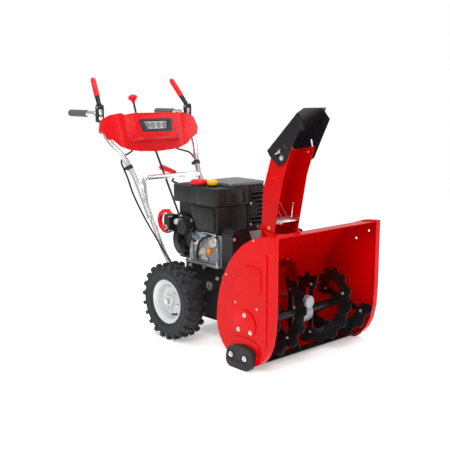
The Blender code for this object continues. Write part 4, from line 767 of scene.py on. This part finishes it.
shield = pressing("heat_shield", shield_plan, "Z", 0.6520, 0.6660, 0.010, 0.0040)
SHIELD_GREY = Finish("shield_grey", Metallic=0.35)
fleck = SHIELD_GREY.limited(SHIELD_GREY.noise(160.0, 2.0), 0.45, 0.6)
SHIELD_GREY.set("Base Color", SHIELD_GREY.between(fleck, (0.090, 0.092, 0.096), (0.26, 0.265, 0.27)))
SHIELD_GREY.set("Roughness", 0.38 + 0.15 * fleck)
SHIELD_GREY.bump(SHIELD_GREY.noise(500.0, 2.0), 0.0002)
mounted(shield, SHIELD_GREY.material)
skirt = pressing("shield_skirt", [(x * 0.98, y * 0.985 - 0.002) for x, y in shield_plan], "Z", 0.6440,
                 0.6545, 0.010, 0.001)
mounted(skirt, AIR_BLACK)

# ---- filler caps and dipstick
# Moulded caps with scalloped rims for a gloved hand: red for fuel, yellow for oil, orange for the dipstick.

CAP_RED = moulded("cap_red", (0.76, 0.004, 0.010), 0.32, 900.0, 0.00005, 0.03)
CAP_YELLOW = moulded("cap_yellow", (0.82, 0.52, 0.01), 0.36, 900.0, 0.00005, 0.03)
CAP_ORANGE = moulded("cap_orange", (0.86, 0.24, 0.01), 0.36, 900.0, 0.00005, 0.03)


def scalloped(name, radius, lobes, low, high, dip=0.06, edge=0.002):
    """A cap with a lobed rim, standing on Z."""
    outline = []
    for step in range(lobes * 6):
        angle = 2 * math.pi * step / (lobes * 6)
        reach = radius * (1 - dip * (0.5 - 0.5 * math.cos(lobes * angle)) ** 2)
        outline.append((reach * math.cos(angle), reach * math.sin(angle)))
    return pressing(name, outline, "Z", low, high, 0, edge)


def placed(piece, matrix):
    piece.data.transform(matrix)
    return piece


for cap, body, radius, lobes, height, finish, slot_name, at in (
    ("fuel_cap", "fuel_cap", 0.0378, 16, 0.0255, CAP_RED, "red_plastic", (-0.145, -0.1135, 0.650)),
    ("oil_cap", "oil_cap", 0.0228, 12, 0.0275, CAP_YELLOW, "yellow_plastic", (-0.127, -0.1795, 0.650)),
):
    rim = scalloped(cap + "_rim", radius, lobes, 0.0085, height - 0.004)
    crown = turning(cap + "_crown", [(0, height - 0.006), (radius * 0.86, height - 0.006),
                                     (radius * 0.84, height - 0.002), (radius * 0.78, height),
                                     (radius * 0.3, height), (radius * 0.26, height - 0.0015),
                                     (0, height - 0.0015)], (0, 0, 0), (0, 0, 1), 48)
    grip = pressing(cap + "_bar", [(-radius * 0.62, -0.0035), (radius * 0.62, -0.0035),
                                   (radius * 0.62, 0.0035), (-radius * 0.62, 0.0035)], "Z",
                    height - 0.004, height + 0.0003, 0.003, 0.0010)
    piece = placed(joined(cap + "_top", rim, crown, grip), Matrix.Translation(at))
    mounted(piece, finish, body, 30, [cap])
    collar = turning(cap + "_collar", [(0, 0.0018), (radius * 0.90, 0.0018), (radius * 0.92, 0.0090),
                                       (0, 0.0090)], at, (0, 0, 1), 40)
    mounted(collar, SHOE_BLACK, body)
stick = scalloped("dipstick_head", 0.0124, 8, 0.002, 0.0220, 0.14, 0.0016)
stem = turning("dipstick_stem", [(0, -0.0200), (0.0070, -0.0200), (0.0078, 0.0030), (0, 0.0030)], (0, 0, 0),
               (0, 0, 1), 24)
stick = placed(joined("dipstick_knob", stick, stem), facing((-1, 0, 0), (-0.165, -0.2185, 0.384)))
mounted(stick, CAP_ORANGE, "dipstick", 30, ["dipstick"])

# ---- engine
# An aluminium crankcase, left as cast, stands on four bolts, with its cylinder lying over to the left.
# Hoses, brackets and small covers crowd its right side.

CASE = bare_metal("crankcase", (0.40, 0.41, 0.43), 0.46, (140, 140, 140), 0.20, 0.0003)
CASE_LIGHT = bare_metal("machined_cover", (0.62, 0.58, 0.55), 0.34, (200, 200, 200), 0.12, 0.0002)
BLUE_STEEL = bare_metal("blued_bracket", (0.26, 0.33, 0.40), 0.30, (200, 200, 200), 0.12)
HOSE = moulded("fuel_hose", (0.012, 0.012, 0.012), 0.5, 900.0, 0.0001)
carry(("engine_block",), CASE, 0.0040)
carry(("cylinder_head",), CASE, 0.0012)


def tubing(name, points, radius, closed=False, sides=3, smooth=True):
    """A round bar or hose drawn along points."""
    bpy.ops.object.select_all(action="DESELECT")
    bpy.ops.curve.primitive_nurbs_path_add()
    made = bpy.context.object
    made.name = name
    curve = made.data
    curve.splines.clear()
    line = curve.splines.new("NURBS" if smooth else "POLY")
    line.points.add(len(points) - 1)
    for knot, point in zip(line.points, points):
        knot.co = (*point, 1)
    if smooth:
        line.order_u = 3
        line.use_endpoint_u = not closed
        line.resolution_u = 6
    line.use_cyclic_u = closed
    curve.bevel_depth = radius
    curve.bevel_resolution = sides
    curve.use_fill_caps = not closed
    bpy.ops.object.convert(target="MESH")
    made = bpy.context.object
    made.location = (0, 0, 0)
    return made


case_shape = [(-0.2660, 0.3300), (-0.2700, 0.3800), (-0.2560, 0.4360), (-0.2200, 0.4480), (-0.1500, 0.4480),
              (-0.1100, 0.4380), (-0.0860, 0.4000), (-0.0860, 0.3420), (-0.1000, 0.3300)]
case_cover = pressing("case_side", case_shape, "X", -0.1740, -0.1640, 0.010, 0.0030)
case_ribs = [case_cover]
for y in (-0.2500, -0.1700, -0.1400, -0.1100):
    case_ribs.append(pressing("case_rib", [(y, 0.334), (y + 0.004, 0.334), (y + 0.004, 0.440),
                                           (y, 0.440)], "X", -0.1790, -0.1730, 0.001, 0.0010))
foot = pressing("case_foot", [(-0.1860, -0.2780), (0.1060, -0.2780), (0.1060, -0.0740),
                              (-0.1860, -0.0740)], "Z", 0.3184, 0.3290, 0.012, 0.0022)
case_ribs.append(foot)
case_ribs.append(turning("dipstick_boss", [(0.0090, 0), (0.0180, 0), (0.0165, 0.0090), (0.0140, 0.0100),
                                           (0.0090, 0.0100)], (-0.1640, -0.2185, 0.384), (-1, 0, 0), 28))
mounted(joined("case_castings", *case_ribs), CASE)
light_parts = [turning("governor_cover", [(0, 0), (0.0260, 0), (0.0260, 0.006), (0.0235, 0.0085),
                                          (0.0100, 0.0095), (0.0090, 0.0120), (0, 0.0120)],
                       (-0.1730, -0.2390, 0.4260), (-1, 0.08, 0.1), 36),
               turning("breather", [(0, 0), (0.0150, 0), (0.0150, 0.0100), (0.0120, 0.0120), (0, 0.0120)],
                       (-0.1730, -0.1350, 0.4150), (-1, 0, 0), 28),
               pressing("case_window", [(-0.2000, 0.3540), (-0.1320, 0.3540), (-0.1260, 0.3900),
                                        (-0.1900, 0.3980)], "X", -0.1800, -0.1720, 0.008, 0.0020)]
mounted(joined("machined_covers", *light_parts), CASE_LIGHT)
blue_parts = [pressing("throttle_bracket", [(-0.2080, 0.4380), (-0.1320, 0.4470), (-0.1320, 0.4560),
                                            (-0.1500, 0.4600), (-0.2080, 0.4540)], "X", -0.1830, -0.1790,
                       0.003, 0.0006), pressing("starter_strap",
                                                [(-0.1200, 0.4260), (-0.0900, 0.4260), (-0.0820, 0.4620),
                                                 (-0.0960, 0.4640)], "X", -0.1790, -0.1700, 0.003,
                                                0.0008), pressing("case_gusset",
                                                                  [(-0.2740, 0.3420), (-0.2640, 0.3420),
    (-0.2560, 0.4180), (-0.2700, 0.4340)], "X", -0.1760, -0.1640, 0.002, 0.0010)]
mounted(joined("blued_brackets", *blue_parts), BLUE_STEEL)
hoses = [tubing("fuel_hose", [(-0.176, -0.228, 0.452), (-0.187, -0.214, 0.446), (-0.191, -0.186, 0.436),
                              (-0.189, -0.160, 0.410), (-0.184, -0.142, 0.376), (-0.178, -0.136, 0.345),
                              (-0.170, -0.136, 0.330)], 0.0048),
         tubing("breather_hose", [(-0.182, -0.135, 0.415), (-0.196, -0.130, 0.420),
                                  (-0.196, -0.112, 0.444), (-0.184, -0.106, 0.462),
                                  (-0.170, -0.106, 0.470)], 0.0055),
         tubing("starter_lead", [(-0.196, -0.035, 0.452), (-0.198, -0.020, 0.425),
                                 (-0.190, -0.024, 0.392), (-0.176, -0.044, 0.368),
                                 (-0.160, -0.060, 0.352)], 0.0042)]
mounted(joined("engine_hoses", *hoses), HOSE)
case_bolts = [(-0.1740, y, z) for y, z in ((-0.2600, 0.340), (-0.2620, 0.395), (-0.2130, 0.4410),
                                           (-0.1600, 0.4420), (-0.1000, 0.4250), (-0.0930, 0.3700),
                                           (-0.1050, 0.3370), (-0.1800, 0.3370))]
cap_bolts("case_bolts", 0.0040, case_bolts, (-1, 0, 0), ZINC)
foot_bolts = [(x, y, 0.3290) for x in (-0.1760, 0.0980) for y in (-0.2640, -0.0880)]
cap_bolts("foot_bolts", 0.0060, foot_bolts, (0, 0, 1), ZINC)
PLATE_SILVER = bare_metal("data_plate_silver", (0.80, 0.80, 0.80), 0.22, (400, 400, 400), 0.08)
blank = pressing("blank_plate", [(-0.2080, 0.3400), (-0.1680, 0.3400), (-0.1680, 0.3560),
                                 (-0.2080, 0.3560)], "X", -0.1816, -0.1796, 0.002, 0.0004)
mounted(blank, PLATE_SILVER)
lever_parts = [tubing("choke_rod", [(-0.1835, -0.255, 0.458), (-0.1850, -0.220, 0.4625),
                                    (-0.1850, -0.175, 0.4605)], 0.0018),
               turning("choke_knob", [(0, 0), (0.0050, 0), (0.0058, 0.006), (0.0040, 0.012), (0, 0.0125)],
                       (-0.1835, -0.255, 0.458), (0, -1, -0.1), 18)]
mounted(joined("choke_linkage", *lever_parts), ZINC)

# ---- starters
# A recoil starter with a slotted cover closes the engine's back. An electric starter lies at its right.
# The switch box beside them has one red push button.

carry(("recoil_housing",), COVER_BLACK, 0.0035)
RECOIL_AT = (-0.090, 0.0195, 0.405)
fan_parts = []
for step in range(18):
    turn = Matrix.Translation(RECOIL_AT) @ Matrix.Rotation(2 * math.pi * step / 18, 4, "Y")
    vane = pressing("fan_vane", [(0.052, -0.0035), (0.084, -0.0050), (0.084, 0.0050), (0.052, 0.0035)],
                    "Y", -0.0010, 0.0024, 0.003, 0.0008)
    fan_parts.append(placed(vane, turn))
for radius, height in ((0.0900, 0.0030), (0.0440, 0.0050), (0.0250, 0.0070)):
    fan_parts.append(turning("fan_ring", [(radius - 0.004, -0.001), (radius, -0.001),
                                          (radius - 0.001, height), (radius - 0.003, height)],
                             RECOIL_AT, (0, 1, 0), 56))
mounted(joined("fan_cover_ribs", *fan_parts), COVER_BLACK)
recoil_bolts = [(RECOIL_AT[0] + 0.090 * math.cos(a), RECOIL_AT[1], RECOIL_AT[2] + 0.090 * math.sin(a))
                for a in (0.6, 2.2, 3.8, 5.4)]
cap_bolts("recoil_bolts", 0.0038, recoil_bolts, (0, 1, 0), ZINC)
motor_profile = [(0, 0), (0.0325, 0), (0.0325, 0.020), (0.0300, 0.022), (0.0300, 0.025), (0.0325, 0.027),
                 (0.0325, 0.032), (0.0290, 0.035), (0.0180, 0.0352), (0.0170, 0.0335), (0.0090, 0.0335),
                 (0.0080, 0.0350), (0, 0.0350)]
motor = turning("starter_body", motor_profile, (-0.1650, -0.0575, 0.468), (-1, 0, 0), 48)
mounted(motor, AIR_BLACK, replaces=["starter_motor"])
solenoid = turning("starter_solenoid", [(0, 0), (0.0135, 0), (0.0135, 0.030), (0.0115, 0.033), (0, 0.033)],
                   (-0.1700, -0.0220, 0.4880), (-1, 0, 0), 32)
mounted(solenoid, CASE_LIGHT)
starter_bracket = [pressing("bracket_web", [(-0.1000, 0.360), (-0.0300, 0.400), (0.0000, 0.440),
                                            (0.0120, 0.500), (-0.0200, 0.520), (-0.0900, 0.510),
                                            (-0.1000, 0.440)], "X", -0.1690, -0.1600, 0.012, 0.0024),
                   pressing("bracket_leg", [(-0.0500, 0.335), (0.0060, 0.355), (0.0060, 0.420),
                                            (-0.0400, 0.410)], "X", -0.1760, -0.1500, 0.010, 0.0030)]
mounted(joined("starter_bracket", *starter_bracket), AIR_BLACK)
cap_bolts("starter_bolts", 0.0036, [(-0.1690, -0.0900, 0.4980), (-0.1690, -0.0180, 0.5120),
                                    (-0.1690, -0.0900, 0.4300)], (-1, 0, 0), ZINC)
carry(("starter_switch_box",), AIR_BLACK, 0.0030)
SCREW_WHITE = moulded("white_screws", (0.80, 0.80, 0.78), 0.35)
box_screw = turning("box_screw", [(0, 0), (0.0026, 0), (0.0024, 0.0012), (0, 0.0015)], (0, 0, 0),
                    (0, 0, 1), 14)
screw_at = [facing((0, -1, 0), (x, 0.0202, z)) for x in (-0.2000, -0.1920) for z in (0.4430, 0.5060)]
screw_at += [facing((-1, 0, 0), (-0.2050, y, z)) for y in (0.0250, 0.0540) for z in (0.4430, 0.5060)]
mounted(scatter("switch_screws", box_screw, screw_at), SCREW_WHITE)
bezel = turning("button_bezel", [(0.0068, -0.0010), (0.0100, -0.0010), (0.0095, 0.0012), (0.0072, 0.0014)],
                (-0.2050, 0.0445, 0.457), (-1, 0, 0), 28)
mounted(bezel, SCREW_WHITE)
carry(("start_button", "recoil_handle"), CAP_RED, 0.0030)
rope = tubing("recoil_rope", [(-0.140, 0.0700, 0.467), (-0.140, 0.0760, 0.467), (-0.140, 0.0840, 0.467)],
              0.0030)
ROPE = moulded("starter_rope", (0.030, 0.030, 0.032), 0.8, 1200.0, 0.0003)
rope.data.materials.clear()
rope.data.materials.append(ROPE)
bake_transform(rope)

# ---- handles
# A bright hoop is bolted to the frame, and a long bright handle is bolted to each of its legs.
# Black clips hold the cables, and each grip is ribbed grey foam over the tube's end.

BRIGHT_TUBE = bare_metal("bright_tube", (0.86, 0.86, 0.88), 0.18, (40, 40, 40), 0.04, 0.000004)
CLIP_BLACK = moulded("clip_black", (0.012, 0.012, 0.013), 0.40)
FOAM = Finish("foam_grip", IOR=1.45)
FOAM.set("Base Color", FOAM.between(FOAM.noise(260.0, 4.0), (0.060, 0.062, 0.064), (0.135, 0.138, 0.142)))
FOAM.set("Roughness", 0.80 + 0.12 * FOAM.noise(90.0, 2.0))
FOAM.bump(FOAM.noise(900.0, 3.0), 0.0004)
carry(("lower_handle", "upper_handle_right", "upper_handle_left"), BRIGHT_TUBE, 0.0004)
GRIP_START, GRIP_RADIUS, GRIP_BORE = 0.5755, 0.0165, 0.0127
for side, side_name in ((-1, "right"), (1, "left")):
    grip_profile = [(GRIP_BORE, 0), (GRIP_RADIUS - 0.002, 0), (GRIP_RADIUS, 0.003)]
    for ring in range(1, 12):
        at = 0.012 * ring
        grip_profile += [(GRIP_RADIUS, at - 0.0018), (GRIP_RADIUS - 0.0006, at), (GRIP_RADIUS, at + 0.0018)]
    grip_profile += [(GRIP_RADIUS, 0.1455), (GRIP_RADIUS - 0.0015, 0.149), (GRIP_RADIUS - 0.005, 0.150),
                     (0, 0.150), (0, 0.1465), (GRIP_BORE, 0.1465)]
    foam = turning(f"foam_{side_name}", grip_profile, (side * 0.261, GRIP_START, 0.942), (0, 1, 0), 40)
    mounted(foam, FOAM.material, replaces=[f"grip_{side_name}"])
    legs = [(side * 0.2050, 0.1970, 0.583), (side * 0.2050, 0.1570, 0.505)]
    cap_bolts(f"handle_bolts_{side_name}", 0.0060, legs, (side, 0, 0), ZINC)
    clip = [(0.0127, -0.009), (0.0152, -0.009), (0.0158, 0), (0.0152, 0.009), (0.0127, 0.009)]
    ear = [(0.3240, 0.690), (0.3520, 0.684), (0.3560, 0.696), (0.3280, 0.712)]
    clips = [turning("clip", clip, (side * 0.2013, 0.3185, 0.699), (side * 0.0110, 0.0230, 0.0430), 28),
             pressing("clip_ear", ear, "X", side * 0.2010 - 0.0045, side * 0.2010 + 0.0045, 0.003, 0.0010)]
    mounted(joined(f"cable_clip_{side_name}", *clips), CLIP_BLACK)
CABLE_BLACK = moulded("cable_black", (0.010, 0.010, 0.011), 0.45, 1500.0, 0.00003)
ROUTE = [(0.1000, 0.4145, 0.800), (0.1250, 0.3965, 0.770), (0.1650, 0.3795, 0.757),
         (0.2000, 0.3725, 0.748), (0.2195, 0.3625, 0.722), (0.2170, 0.3405, 0.690),
         (0.2105, 0.3165, 0.642), (0.2090, 0.2925, 0.590), (0.2090, 0.2395, 0.525),
         (0.2040, 0.1895, 0.462), (0.1900, 0.1425, 0.398), (0.1860, 0.0965, 0.345),
         (0.1830, 0.0465, 0.300), (0.1760, -0.0105, 0.248), (0.1640, -0.0435, 0.226),
         (0.1560, -0.0435, 0.225), (0.1508, -0.0435, 0.225)]
for side, side_name in ((-1, "right"), (1, "left")):
    cable = tubing(f"cable_{side_name}", [(side * x, y, z) for x, y, z in ROUTE], 0.0042)
    mounted(cable, CABLE_BLACK, replaces=[f"clutch_cable_{side_name}"])

# ---- console
# A moulded cover, open behind and below, hides the tops of the handles, and its middle bulges forward.
# Its wings are shallower than its middle, and the handles pass up through it behind them.

CONSOLE = Matrix.Translation((0, 0.3765, 0.765)) @ Matrix.Rotation(math.radians(-17), 4, "X")
CONSOLE_RED = moulded("console_red", (0.66, 0.0015, 0.006), 0.22, 700.0, 0.00002, 0.003)
CONSOLE_DEEP, BULGE_DEEP, WALL = 0.085, 0.036, 0.003
wing = [(0.100, 0.002), (0.150, 0.010), (0.200, 0.028), (0.235, 0.060), (0.270, 0.072), (0.285, 0.110),
        (0.270, 0.162), (0.232, 0.180), (0.165, 0.189), (0.150, 0.181)]
rim = [(0, -0.004)] + wing + [(-x, z) for x, z in wing[::-1]]
inner = [(x * (1 - WALL / 0.285), z - WALL) if z > 0.08 else (x * 0.995, z - 0.05) for x, z in rim]


def tapered(made, at, middle, narrower, lower):
    """Narrows one end of a piece, at a depth along Y, about a height."""
    for point in made.data.vertices:
        if abs(point.co.y - at) < 0.0001:
            point.co.x *= narrower
            point.co.z = middle + lower * (point.co.z - middle)
    return made


def bulge_block(name, inset, front, back):
    """The bulge's block, smaller all round by an inset."""
    half, low, high = 0.152 - inset, 0.044 + inset, 0.180 - inset
    block = pressing(name, [(-half, low), (half, low), (half, high), (-half, high)], "Y", front, back)
    return tapered(block, front, 0.1648, 0.803, 0.868)


cover = pressing("console_cover", rim, "Y", 0, CONSOLE_DEEP)
carved(cover, [bulge_block("bulge", 0, -BULGE_DEEP, WALL / 2)], "UNION")
seams = []
for side in (-1, 1):
    seam = [(side * 0.1755, 0.0225), (side * 0.1770, 0.0225), (side * 0.1870, 0.1905),
            (side * 0.1855, 0.1905)]
    seams.append(pressing("seam", seam, "Y", -0.002, 0.0012))
carved(cover, seams)
soften(cover, 0.0035, 4, 18)
window = [(-0.1025, 0.1485), (-0.0865, 0.0835), (0.0865, 0.0835), (0.1025, 0.1485)]
hollows = [pressing("room", inner, "Y", WALL, CONSOLE_DEEP + 0.05),
           bulge_block("bulge_room", WALL, WALL - BULGE_DEEP, 2 * WALL),
           pressing("window", window, "Y", -BULGE_DEEP - 0.02, 0.02, 0.004)]
for side in (-1, 1):
    wing_back = [(side * x, z) for x, z in ((0.205, -0.02), (0.320, -0.02), (0.320, 0.2), (0.205, 0.2))]
    hollows.append(tapered(pressing("wing_back", wing_back, "Y", 0.034, CONSOLE_DEEP + 0.02), 0.034, 0.09,
                           1.09, 1.0))
back_again = CONSOLE.inverted()
for side in (-1, 1):
    line = [(0.199, 0.3135, 0.690), (0.210, 0.3365, 0.733), (0.231, 0.3645, 0.774), (0.247, 0.3965, 0.803),
            (0.256, 0.4265, 0.840), (0.261, 0.4525, 0.900), (0.261, 0.4895, 0.942)]
    hollows.append(placed(tubing("passage", [(side * x, y, z) for x, y, z in line], 0.0160, False, 4),
                          back_again))
bpy.ops.mesh.primitive_cube_add(size=1, location=(-0.040, 0.484, 0.945))
bpy.context.object.scale = (0.024, 0.080, 0.090)
bpy.ops.object.transform_apply(location=True, scale=True)
hollows.append(placed(bpy.context.object, back_again))
carved(cover, hollows)
cover.data.transform(CONSOLE)
mounted(cover, CONSOLE_RED, smooth=30, replaces=["control_console"])

# ---- lamp
# A dark bezel frames a clear lens, and four small lamps sit in bright cups on a silver reflector.
# It rides in the window of the console's bulge.

BEZEL_GREY = moulded("bezel_grey", (0.028, 0.030, 0.034), 0.34, 900.0, 0.00004)
MIRROR = moulded("lamp_mirror", (0.84, 0.84, 0.86), 0.25, 900.0, 0.00002)
FACE = -BULGE_DEEP - 0.0015
bezel_shape = [(-0.1015, 0.1475), (-0.0855, 0.0845), (0.0855, 0.0845), (0.1015, 0.1475)]
lens_shape = [(-0.0665, 0.1350), (-0.0545, 0.1000), (0.0560, 0.1000), (0.0665, 0.1350)]
bezel = pressing("bezel", bezel_shape, "Y", FACE, FACE + 0.010, 0.003)
carved(bezel, [tapered(pressing("bezel_mouth", lens_shape, "Y", FACE - 0.004, FACE + 0.012, 0.003),
                       FACE - 0.004, 0.1175, 1.06, 1.12)])
soften(bezel, 0.0010, 2, 35)
bezel.data.transform(CONSOLE)
mounted(bezel, BEZEL_GREY, replaces=["headlight"])
reflector = [placed(pressing("mirror", [(x * 1.03, z) for x, z in lens_shape], "Y", FACE + 0.0135,
                             FACE + 0.0150), CONSOLE)]
cups = []
for x in (-0.048, -0.018, 0.017, 0.051):
    centre = CONSOLE @ Vector((x, FACE + 0.0136, 0.1175))
    ahead = CONSOLE.to_3x3() @ Vector((0, -1, 0))
    cups.append(turning("cup", [(0.0080, 0), (0.0098, 0), (0.0132, 0.0070), (0.0118, 0.0080),
                                (0.0080, 0.0040)], centre, ahead, 28))
    cups.append(turning("pupil", [(0, 0), (0.0048, 0), (0.0048, 0.0018), (0.0030, 0.0032), (0, 0.0036)],
                        centre, ahead, 20))
mounted(joined("lamp_reflector", *reflector), MIRROR)
LAMP_DARK = moulded("lamp_dark", (0.035, 0.036, 0.042), 0.20, 900.0, 0.00002)
mounted(joined("lamp_cups", *cups), LAMP_DARK)
GLASS = Finish("lens_clear", IOR=1.45, Coat_Roughness=0.03)
GLASS.set("Base Color", GLASS.between(GLASS.noise(30.0), (0.92, 0.92, 0.94), (0.96, 0.95, 0.97)))
GLASS.set("Roughness", 0.05)
GLASS.set("Alpha", 0.06 + 0.06 * GLASS.noise(12.0))
lens = pressing("lens", [(x * 1.02, z) for x, z in lens_shape], "Y", FACE + 0.0028, FACE + 0.0044, 0.003)
lens.data.transform(CONSOLE)
mounted(lens, GLASS.material)

# ---- controls
# Each clutch lever is a black arm with a red sleeve, and the shift lever ends in a red knob.
# The chute's crank runs forward under the console to a worm, and its grip spins on the rod.

carry(("clutch_lever_right", "clutch_lever_left"), CLIP_BLACK, 0.0010)
for side, side_name in ((-1, "right"), (1, "left")):
    pivot, tip = Vector((side * 0.262, 0.4625, 0.972)), Vector((side * 0.233, 0.5615, 1.107))
    along = tip - pivot
    sleeve_profile = [(0.0068, 0.060), (0.0122, 0.060), (0.0128, 0.064), (0.0128, 0.150), (0.0122, 0.158),
                      (0.0105, 0.165), (0.0070, 0.169), (0, 0.1705), (0, 0.1660), (0.0068, 0.160)]
    mounted(turning(f"lever_sleeve_{side_name}", sleeve_profile, pivot, along, 32), CAP_RED,
            f"clutch_lever_{side_name}")
    boot = [(0.0066, 0.012), (0.0100, 0.012), (0.0112, 0.020), (0.0098, 0.030), (0.0112, 0.040),
            (0.0108, 0.0595), (0.0066, 0.0595)]
    mounted(turning(f"lever_boot_{side_name}", boot, pivot, along, 28), CLIP_BLACK,
            f"clutch_lever_{side_name}")
    brackets = []
    for reach in (-0.0150, 0.0126):
        bracket = pressing("bracket", [(0.4500, 0.905), (0.4780, 0.905), (0.4780, 0.972), (0.4720, 0.985),
                                       (0.4540, 0.985), (0.4500, 0.972)], "X", side * 0.262 + reach,
                           side * 0.262 + reach + 0.0024, 0.004, 0.0006)
        brackets.append(bracket)
    mounted(joined(f"lever_bracket_{side_name}", *brackets), CLIP_BLACK)
    pin = [(0, -0.0165), (0.0055, -0.0165), (0.0060, -0.0150), (0.0060, -0.0128), (0.0042, -0.0128),
           (0.0042, 0.0128), (0.0060, 0.0128), (0.0060, 0.0150), (0.0055, 0.0165), (0, 0.0165)]
    mounted(turning(f"lever_pin_{side_name}", pin, pivot, (1, 0, 0), 20), ZINC)
carry(("shift_lever", "shift_rod", "chute_crank"), BLACK_PAINT)
KNOB, KNOB_AXIS = Vector((-0.040, 0.5045, 0.990)), Vector((-0.010, 0.064, 0.2235)).normalized()
knob_profile = [(0, 0.0190), (0.0080, 0.0182), (0.0150, 0.0155), (0.0200, 0.0105), (0.0225, 0.0045),
                (0.0222, 0.0005), (0.0190, -0.0040), (0.0130, -0.0090), (0.0090, -0.0140),
                (0.0078, -0.0180), (0.0074, -0.0220), (0, -0.0220)]
knob = turning("knob", knob_profile, KNOB + 0.0225 * KNOB_AXIS, KNOB_AXIS, 40)
mounted(knob, CAP_RED, "shift_lever", replaces=["shift_knob"])
CRANK_LINE = Vector((0.0322, 0.9880, 0.1514))
CRANK_MIDDLE = Vector((0.195, 0.4695, 0.633)) + 0.0825 * CRANK_LINE
crank_profile = [(0, 0.0620), (0.0080, 0.0625), (0.0125, 0.0600), (0.0150, 0.0530), (0.0146, 0.0300),
                 (0.0138, 0), (0.0128, -0.0300), (0.0112, -0.0560), (0.0100, -0.0625), (0.0055, -0.0625),
                 (0.0055, 0.0530), (0, 0.0530)]
mounted(turning("crank_handle", crank_profile, CRANK_MIDDLE, CRANK_LINE, 36), CAP_RED, "crank_grip",
        replaces=["crank_grip"])

# ---- chute and deflector
# The chute is one folded trough on a ring, with two beads on each side and a zinc guard across its foot.
# The black deflector tilts on a bolt at each side, and wing nuts hold it.

carry(("chute",), RED, 0.0012)
DEFLECTOR_BLACK = moulded("deflector_black", (0.008, 0.008, 0.010), 0.30, 600.0, 0.00006, 0.02)
carry(("chute_deflector",), DEFLECTOR_BLACK, 0.0020)
BRASS = bare_metal("brass", (0.80, 0.62, 0.30), 0.24, (120, 120, 120))
for side, side_name in ((-1, "right"), (1, "left")):
    wall = side * 0.0700
    beads = [tubing("bead", [(wall, -0.4774, 0.7055), (wall, -0.5159, 0.6960)], 0.0018, False, 3, False),
             tubing("bead", [(wall, -0.4507, 0.6145), (wall, -0.5068, 0.6000)], 0.0018, False, 3, False)]
    mounted(joined(f"chute_beads_{side_name}", *beads), RED, "chute")
    cap_bolts(f"chute_bolt_{side_name}", 0.0042, [(wall, -0.461, 0.503)], (side, 0, 0), BRASS, "chute")
    hinge = side * 0.0800
    cap_bolts(f"deflector_pivot_{side_name}", 0.0060, [(hinge, -0.5355, 0.790)], (side, 0, 0), ZINC,
              "deflector")
    nut_at = (hinge, -0.5275, 0.8130)
    wings = [turning("wing_hub", [(0, 0), (0.0068, 0), (0.0062, 0.0090), (0.0040, 0.0110), (0, 0.0112)],
                     nut_at, (side, 0, 0), 20)]
    for turn in (35, 215):
        ear = pressing("wing", [(0.003, 0.002), (0.014, 0.004), (0.019, 0.012), (0.016, 0.018),
                                (0.010, 0.014), (0.003, 0.009)], "Y", -0.0016, 0.0016, 0.002, 0.0006)
        spun = Matrix.Rotation(math.radians(turn), 4, "Z")
        wings.append(placed(ear, facing((side, 0, 0), nut_at) @ spun))
    mounted(joined(f"wing_nut_{side_name}", *wings), ZINC, "chute")
    cap_bolts(f"mouth_bolt_{side_name}", 0.0042, [(side * 0.0668, -0.5395, 0.8070)], (-side, 0, 0), BRASS,
              "chute")
STAY_TOP = (0.0640, -0.4655, 0.5920)
GUARD_BAND = bare_metal("guard_band", (0.74, 0.74, 0.72), 0.24, (200, 200, 200))
band = pressing("band", [(-0.4940, 0.5220), (-0.4740, 0.5420), (-0.4740, 0.5445), (-0.4960, 0.5240)], "X",
                -0.0668, 0.0668, 0, 0.0005)
rods = [band, tubing("stay", [(-0.0668, -0.4950, 0.6355), (-0.0100, -0.4880, 0.5700),
                              (0.0140, -0.4850, 0.5340)], 0.0014, False, 2),
        tubing("stay", [(-0.0668, -0.4900, 0.5910), (-0.0300, -0.4880, 0.5560),
                        (-0.0140, -0.4880, 0.5320)], 0.0014, False, 2),
        tubing("stay", [STAY_TOP, (0.0500, -0.4750, 0.5600), (0.0400, -0.4800, 0.5370)], 0.0026, False, 3),
        turning("stay_head", [(0, 0), (0.0060, 0), (0.0060, 0.0035), (0, 0.0040)], STAY_TOP,
                (0.1, 0.1, 0.9), 18)]
mounted(joined("chute_guard", *rods), GUARD_BAND, "chute")
